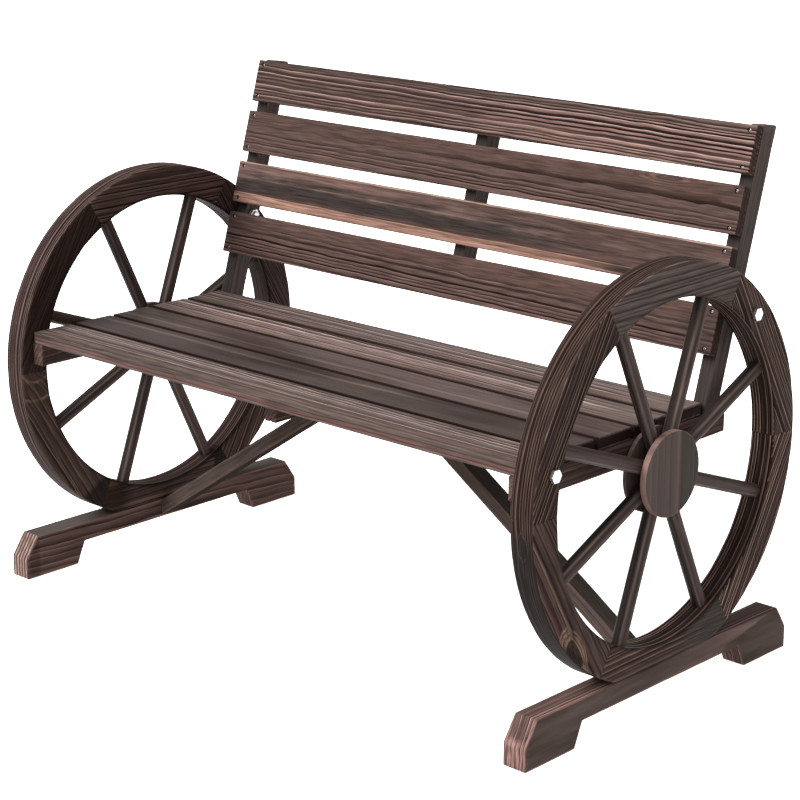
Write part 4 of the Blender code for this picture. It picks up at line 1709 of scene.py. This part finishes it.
    def _plate_ring(self, radius: float, outwards: float, worn: float) -> Ring:
        """Make one ring of a turned plate about the axle, in a grain frame that stands upright.

        Args:
            radius: the ring's radius.
            outwards: its place along the axle.
            worn: its wear.

        Returns:
            The ring.
        """
        turns = [2 * math.pi * i / self.hub_sides for i in range(self.hub_sides)]
        return Ring.even([Vector((radius * math.cos(t), radius * math.sin(t), -outwards))
                          for t in turns], worn)


@dataclass(frozen=True)
class Runner:
    """The beam under a wheel: chamfered ends, two feet and a raised arch."""

    side: Side
    nose: float = 0.0325
    chamfer_run: float = 0.023
    foot: float = 0.099
    slant_run: float = 0.0155
    arch: float = 0.0352
    ease: float = 0.0020
    kink_clear: float = 0.004
    foot_steps: int = 4
    end_wear: float = 0.7
    cut: float = 0.9

    def build(self) -> None:
        """Build the runner."""
        node = f"{self.side.tag}_runner"
        low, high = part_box(node)
        half = (high.x - low.x) / 2
        end = (high.y - low.y) / 2
        height = high.z

        def top(y: float) -> float:
            """Give the height of the upper face."""
            short = end - abs(y)
            return min(height, self.nose + (height - self.nose) * short / self.chamfer_run)

        def bottom(y: float) -> float:
            """Give the height of the lower face."""
            inside = end - self.foot - abs(y)
            return min(self.arch, max(0.0, self.arch * inside / self.slant_run))

        def station(y: float, inset: float, ease: float, worn: float) -> Ring:
            """Make the ring of the runner at one place along it."""
            section = Section(-half, half, bottom(y), top(y)).shrunk(inset)
            return section.ring(ease, lambda a, b: Vector((y, a, b)), worn)

        inner = end - self.foot
        places = {0.0}
        for kink in (end - self.chamfer_run, inner, inner - self.slant_run):
            places |= {kink - self.ease, kink, kink + self.ease}
        fill = max(1, round(inner / STATION))
        under = inner - self.slant_run - self.kink_clear
        places |= {under * i / fill for i in range(fill + 1)}
        over = self.foot - self.chamfer_run
        places |= {inner + over * i / self.foot_steps for i in range(1, self.foot_steps)}
        places |= {end - self.ease * (1 + FLAT_RUN), end - self.chamfer_run / 2}
        micrometre = 6
        run = sorted({round(sign * p, micrometre) for p in places for sign in (-1, 1)})
        steps = end_steps(self.ease)
        face = (self.ease * FLAT_RUN, self.ease * END_FACE_EASE, self.end_wear)
        rings = [station(-end, *face)]
        rings += [station(-end + setback, inset, self.ease - inset, END_WEAR)
                  for setback, inset in reversed(steps)]
        rings += [station(y, 0.0, self.ease, 0.0) for y in run]
        rings += [station(end - setback, inset, self.ease - inset, END_WEAR)
                  for setback, inset in steps]
        rings.append(station(end, *face))
        frame = frame_of(Y_AXIS, -X_AXIS, Vector(((low.x + high.x) / 2, 0, 0)))
        lay_wood(node, skin(rings), frame, RUNNER_BOARDS[self.side],
                 (self.cut * max(self.side.value, 0), 0.0, 0.0))


@dataclass(frozen=True)
class Seat:
    """The slatted seat with its three rails, screwed together from below."""

    slat_count: int = 5
    slat_ease: float = 0.0012
    slat_end_char: float = 0.0
    rail_ease: float = 0.0014
    rail_cut: Levels = (0.7, 0.01)

    def build(self) -> None:
        """Build the slats and rails."""
        for number in range(1, self.slat_count + 1):
            node = f"seat_slat_{number}"
            low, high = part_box(node)
            half = (high - low) / 2
            # Painted shade in the gaps: the slats' narrow sides that face each other across them
            # are darkened like burnt wood.
            sooty_and_gap_shaded = Face.RIGHT if number == 1 else Face.LEFT | Face.RIGHT
            section = Section(-half.y, half.y, -half.z, half.z, sooty_and_gap_shaded)
            plank = Plank(section, -half.x, half.x, self.slat_ease, end_char=self.slat_end_char)
            lay_wood(node, plank.skin(), frame_of(X_AXIS, Y_AXIS, (low + high) / 2),
                     SEAT_BOARDS[number - 1])
        for place, node in enumerate(("left_seat_rail", "centre_seat_rail", "right_seat_rail")):
            self._rail(node, place)

    def _rail(self, node: str, place: int) -> None:
        """Build one rail with a screw from below into each slat.

        Args:
            node: the rail's name.
            place: its place in the row.
        """
        low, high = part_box(node)
        middle = (low + high) / 2
        half = (high - low) / 2
        plank = Plank(Section(-half.x, half.x, -half.z, half.z), -half.y, half.y,
                      self.rail_ease, end_char=0.0)
        slats = [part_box(f"seat_slat_{number}") for number in range(1, self.slat_count + 1)]
        holes = [Vector(((near.y + far.y) / 2 - middle.y, 0, half.z)) for near, far in slats]
        lay_wood(node, plank.skin(), frame_of(Y_AXIS, X_AXIS, middle), RAIL_BOARD,
                 (self.rail_cut[0] * place, self.rail_cut[1] * place, 0.0), holes)


@dataclass(frozen=True)
class Back:
    """The leaning back: slats, two posts and a batten behind their middle."""

    lean: float = math.radians(16.5)
    slat_count: int = 4
    bar_depth: float = 0.031
    batten_inset: float = 0.006
    post_rise: float = 0.0075
    post_top_drop: float = 0.0045
    post_top_ease: float = 0.0036
    slat_ease: float = 0.0016
    post_ease: float = 0.0016
    screw_inset_end: float = 0.0115
    screw_inset_edge: float = 0.0080
    post_cut: Levels = (2.5, 0.004)
    batten_cut: float = 4.4

    @property
    def upward(self) -> Vector:
        """Give the direction up the back."""
        return Vector((0, math.sin(self.lean), math.cos(self.lean)))

    @property
    def forward(self) -> Vector:
        """Give the direction out of the slats' front faces."""
        return Vector((0, -math.cos(self.lean), math.sin(self.lean)))

    def _slat_sizes(self, node: str) -> tuple[Vector, float, float, float]:
        """Measure a leaning slat in the frame.

        Args:
            node: its name.

        Returns:
            Its middle, half length, half width and half thickness.
        """
        low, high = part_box(node)
        size = high - low
        sine, cosine = math.sin(self.lean), math.cos(self.lean)
        share = cosine ** 2 - sine ** 2
        width = (size.z * cosine - size.y * sine) / share
        thickness = (size.y * cosine - size.z * sine) / share
        return (low + high) / 2, size.x / 2, width / 2, thickness / 2

    def build(self) -> None:
        """Build the slats with their screws, the posts and the batten."""
        for number in range(1, self.slat_count + 1):
            self._slat(number)
        for side in Side:
            self._post(side)
        self._batten()

    def _slat(self, number: int) -> None:
        """Build one slat with countersunk screws at its ends.

        Args:
            number: its place, counted from the top.
        """
        node = f"back_slat_{number}"
        middle, length, width, thickness = self._slat_sizes(node)
        plank = Plank(Section(-width, width, -thickness, thickness), -length, length,
                      self.slat_ease, end_char=1.0)
        across, along = width - self.screw_inset_edge, length - self.screw_inset_end
        holes = [Vector((x * along, y * across, thickness)) for x in (-1, 1) for y in (-1, 1)]
        lay_wood(node, plank.skin(), frame_of(X_AXIS, self.upward, middle), BACK_BOARDS[number - 1],
                 holes=holes)

    def _post(self, side: Side) -> None:
        """Build one post, from the seat rail to a little above the top slat.

        Args:
            side: the end of the bench.
        """
        middle, _, width, thickness = self._slat_sizes("back_slat_1")
        node = f"{side.tag}_post"
        low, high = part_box(node)
        half = (high.x - low.x) / 2
        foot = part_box(f"{side.tag}_seat_rail")[1].z + FIT_GAP
        origin = middle - self.forward * (thickness + FIT_GAP)
        origin.x = (low.x + high.x) / 2
        start = (foot - origin.z) / math.cos(self.lean)
        top = width + self.post_rise - self.post_top_drop
        plank = Plank(Section(-half, half, 0, self.bar_depth), start, top, self.post_ease,
                      end_ease=self.post_top_ease, end_char=0.0,
                      start_slant=(0.0, math.tan(self.lean)),
                      end_slant=(0.0, self.post_top_drop / self.bar_depth))
        lay_wood(node, plank.skin(), frame_of(self.upward, X_AXIS, origin), POST_BOARD,
                 (self.post_cut[0] + side.value, self.post_cut[1], 0.0))

    def _batten(self) -> None:
        """Build the batten with a screw into each slat."""
        places = [self._slat_sizes(f"back_slat_{number}")
                  for number in range(1, self.slat_count + 1)]
        middle, _, width, thickness = places[0]
        low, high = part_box("back_batten")
        half = (high.x - low.x) / 2
        levels = [(place[0] - middle).dot(self.upward) for place in places]
        plank = Plank(Section(-half, half, 0, self.bar_depth),
                      levels[-1] - width + self.batten_inset, width - self.batten_inset,
                      self.post_ease)
        holes = [Vector((level, 0, self.bar_depth)) for level in levels]
        origin = middle - self.forward * (thickness + FIT_GAP)
        lay_wood("back_batten", plank.skin(), frame_of(self.upward, X_AXIS, origin), POST_BOARD,
                 (self.batten_cut, 0.0, 0.0), holes)


@dataclass(frozen=True)
class Bracing:
    """The two diagonal braces from the runners up to the centre rail."""

    thickness: float = 0.022
    foot_drop: float = 0.0014
    ease: float = 0.0014
    cut: Levels = (6.0, 0.006)

    def build(self) -> None:
        """Build both braces."""
        for side in Side:
            node = f"{side.tag}_brace"
            low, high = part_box(node)
            half = (high.y - low.y) / 2
            near, far = (low.x, high.x) if side is Side.LEFT else (high.x, low.x)
            rise = high.z - (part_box(f"{side.tag}_runner")[1].z - self.foot_drop)
            slope = math.atan2(rise, abs(far - near))
            along = Vector((-side.value * math.cos(slope), 0, math.sin(slope)))
            through = along.cross(Y_AXIS)
            foot = Vector((near, 0, high.z - rise))
            inwards = -1 if through.z > 0 else 1
            length = abs(far - near) / math.cos(slope)
            depths = sorted((0.0, inwards * self.thickness))
            slant = (0.0, -inwards * math.tan(slope))
            plank = Plank(Section(-half, half, *depths), 0.0, length, self.ease,
                          start_slant=slant, end_slant=slant)
            lay_wood(node, plank.skin(), frame_of(along, Y_AXIS, foot), BAR_BOARD,
                     (self.cut[0] + side.value, self.cut[1], 0.0))


@dataclass(frozen=True)
class Bolts:
    """The hex bolts that hold the wheels, and the nuts of the rear pair."""

    flats: float = 0.0165
    head: float = 0.0053
    shank: float = 0.010
    pitch: float = 0.00125
    thread_length: float = 0.016
    thread_depth: float = 0.0007
    thread_steps: int = 6
    tip_share: float = 0.72
    chamfer_share: float = 0.562
    chamfer_slope: float = 1.7
    head_steps: tuple[float, ...] = (0.0, 0.0003, 0.0006, 0.0009, 0.0012, 0.0016)
    nut_steps: tuple[float, ...] = (0.0, 0.0004, 0.0008, 0.0012)
    dish: float = 0.00025
    dish_share: float = 0.30
    seat_rise: Levels = (0.0006, 0.0005)
    seat_shares: Levels = (0.47, 0.46)
    sides: int = 48

    def build(self) -> None:
        """Build every bolt and nut."""
        for side in Side:
            self._bolt(side, "front")
            self._bolt(side, "rear")
            self._nut(side)

    def _ring(self, level: float, reach: Callable[[float], float]) -> Ring:
        """Make a ring about the bolt's axis from its radius at each angle."""
        turns = [2 * math.pi * i / self.sides for i in range(self.sides)]
        return Ring.even([Vector((level, reach(t) * math.cos(t), reach(t) * math.sin(t)))
                          for t in turns])

    def _hex(self, turn: float) -> float:
        """Give the radius of the hexagon at one angle."""
        away = math.remainder(turn - math.pi / 6, math.pi / 3)
        return self.flats / 2 / math.cos(away)

    def _chamfered(self, turn: float, depth: float) -> float:
        """Give the radius of the hexagon where its chamfer lies a depth below its face."""
        return min(self._hex(turn), self.flats * self.chamfer_share + depth * self.chamfer_slope)

    def _groove(self, turn: float, level: float) -> float:
        """Give the depth of the thread at one angle and one place along the shank."""
        share = (level / self.pitch - turn / (2 * math.pi)) % 1
        return self.thread_depth * abs(2 * share - 1)

    def _bolt(self, side: Side, label: str) -> None:
        """Build one bolt, head first.

        Args:
            side: the end of the bench.
            label: which of its bolts.
        """
        node = f"{side.tag}_{label}_bolt"
        low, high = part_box(node)
        length = high.x - low.x
        core = self.shank / 2
        rings = [self._ring(self.dish, lambda t: self.flats * self.dish_share)]
        for depth in self.head_steps:
            rings.append(self._ring(depth, lambda t, d=depth: self._chamfered(t, d)))
        hex_end, seat_start = (self.head - rise for rise in self.seat_rise)
        rings.append(self._ring(hex_end, self._hex))
        for level, share in zip((seat_start, self.head), self.seat_shares):
            rings.append(self._ring(level, lambda t, s=share: self.flats * s))
        rings.append(self._ring(self.head, lambda t: core))
        plain = length - self.thread_length
        rings.append(self._ring(plain, lambda t: core))
        count = round(self.thread_length / self.pitch * self.thread_steps)
        for i in range(1, count):
            level = plain + self.thread_length * i / count
            rings.append(self._ring(level, lambda t, z=level: core - self._groove(t, z)))
        rings.append(self._ring(length, lambda t: core * self.tip_share))
        origin = (low + high) / 2
        origin.x = high.x if side is Side.RIGHT else low.x
        frame = frame_of(-X_AXIS * side.value, Y_AXIS, origin)
        lay(f"plated_{node}", skin(rings), frame, BOLT_ZINC.material(), node)

    def _nut(self, side: Side) -> None:
        """Build the nut on a rear bolt.

        Args:
            side: the end of the bench.
        """
        node = f"{side.tag}_rear_nut"
        low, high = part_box(node)
        height = high.x - low.x
        bore = self.shank / 2 + FIT_GAP
        rings = [self._ring(0.0, lambda t: bore)]
        for depth in self.nut_steps:
            rings.append(self._ring(depth, lambda t, d=depth: self._chamfered(t, d)))
        for depth in reversed(self.nut_steps):
            rings.append(self._ring(height - depth, lambda t, d=depth: self._chamfered(t, d)))
        rings.append(self._ring(height, lambda t: bore))
        origin = (low + high) / 2
        origin.x = low.x
        lay(f"plated_{node}", skin(rings, closed=True), frame_of(X_AXIS, Y_AXIS, origin),
            NUT_ZINC.material(), node)


@dataclass(frozen=True)
class Lamp:
    """One far studio lamp: which way it stands, how bright and how broad it is."""

    name: str
    towards: Triple
    strength: float
    spread: float

    def hang(self) -> bpy.types.Object:
        """Add the lamp to the scene.

        Returns:
            The lamp.
        """
        data = bpy.data.lights.new(self.name, "SUN")
        data.energy = self.strength
        data.angle = self.spread
        lamp = bpy.data.objects.new(self.name, data)
        lamp.rotation_euler = Vector(self.towards).to_track_quat("Z", "Y").to_euler()
        bpy.context.scene.collection.objects.link(lamp)
        return lamp


@dataclass(frozen=True)
class Studio:
    """The pale floor, the soft light and the camera at the photograph's viewing angle."""

    eye: Triple = (2.18242, -2.29989, 1.24079)
    gaze: Triple = (-0.65596, 0.70229, -0.27660)
    rightward: Triple = (0.73043, 0.68299, 0.00189)
    lens: float = 100.99
    sensor: float = 36.0
    floor_reach: float = 400.0
    floor_drop: float = 0.0005
    sky: float = 0.56
    key_lamp: Lamp = Lamp("key_light", (-0.30, -0.65, 0.70), 3.6, math.radians(40))
    floor_lamp: Lamp = Lamp("floor_light", (0.0, 0.0, 1.0), 4.2, math.radians(60))

    def build(self) -> None:
        """Add the camera, the light and the floor."""
        self._camera()
        world = bpy.data.worlds.new("studio_sky")
        world.use_nodes = True
        sky = world.node_tree.nodes["Background"]
        sky.inputs["Color"].default_value = (1.0, 1.0, 1.0, 1.0)
        sky.inputs["Strength"].default_value = self.sky
        bpy.context.scene.world = world
        bpy.context.scene.view_settings.view_transform = "Standard"
        self.key_lamp.hang()
        only_floor = bpy.data.collections.new("only_floor")
        only_floor.objects.link(self._floor())
        lamp = self.floor_lamp.hang()
        lamp.data.use_shadow = False
        lamp.light_linking.receiver_collection = only_floor

    def _floor(self) -> bpy.types.Object:
        """Add the floor, which takes its own light and throws none back up.

        Returns:
            The floor.
        """
        body = bmesh.new()
        bmesh.ops.create_grid(body, x_segments=1, y_segments=1, size=self.floor_reach)
        mesh = bpy.data.meshes.new("studio_floor")
        body.to_mesh(mesh)
        body.free()
        mesh.materials.append(FloorFinish().material())
        floor = bpy.data.objects.new("studio_floor", mesh)
        floor.location.z = -self.floor_drop
        floor.visible_diffuse = False
        bpy.context.scene.collection.objects.link(floor)
        return floor

    def _camera(self) -> None:
        """Add the camera."""
        data = bpy.data.cameras.new("view")
        data.lens = self.lens
        data.sensor_width = self.sensor
        camera = bpy.data.objects.new("view", data)
        back = -Vector(self.gaze).normalized()
        right = Vector(self.rightward).normalized()
        up = back.cross(right)
        turn = Matrix((right, up, back)).transposed().to_4x4()
        camera.matrix_world = Matrix.Translation(Vector(self.eye)) @ turn
        bpy.context.scene.collection.objects.link(camera)
        bpy.context.scene.camera = camera


def main() -> None:
    """Load the frame and build the bench's looks round it."""
    logging.basicConfig(level=logging.INFO, format="%(message)s")
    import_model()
    Studio().build()
    for side in Side:
        Wheel.measured(side).build()
        Runner(side).build()
    Seat().build()
    Back().build()
    Bracing().build()
    Bolts().build()


if __name__ == "__main__":
    main()
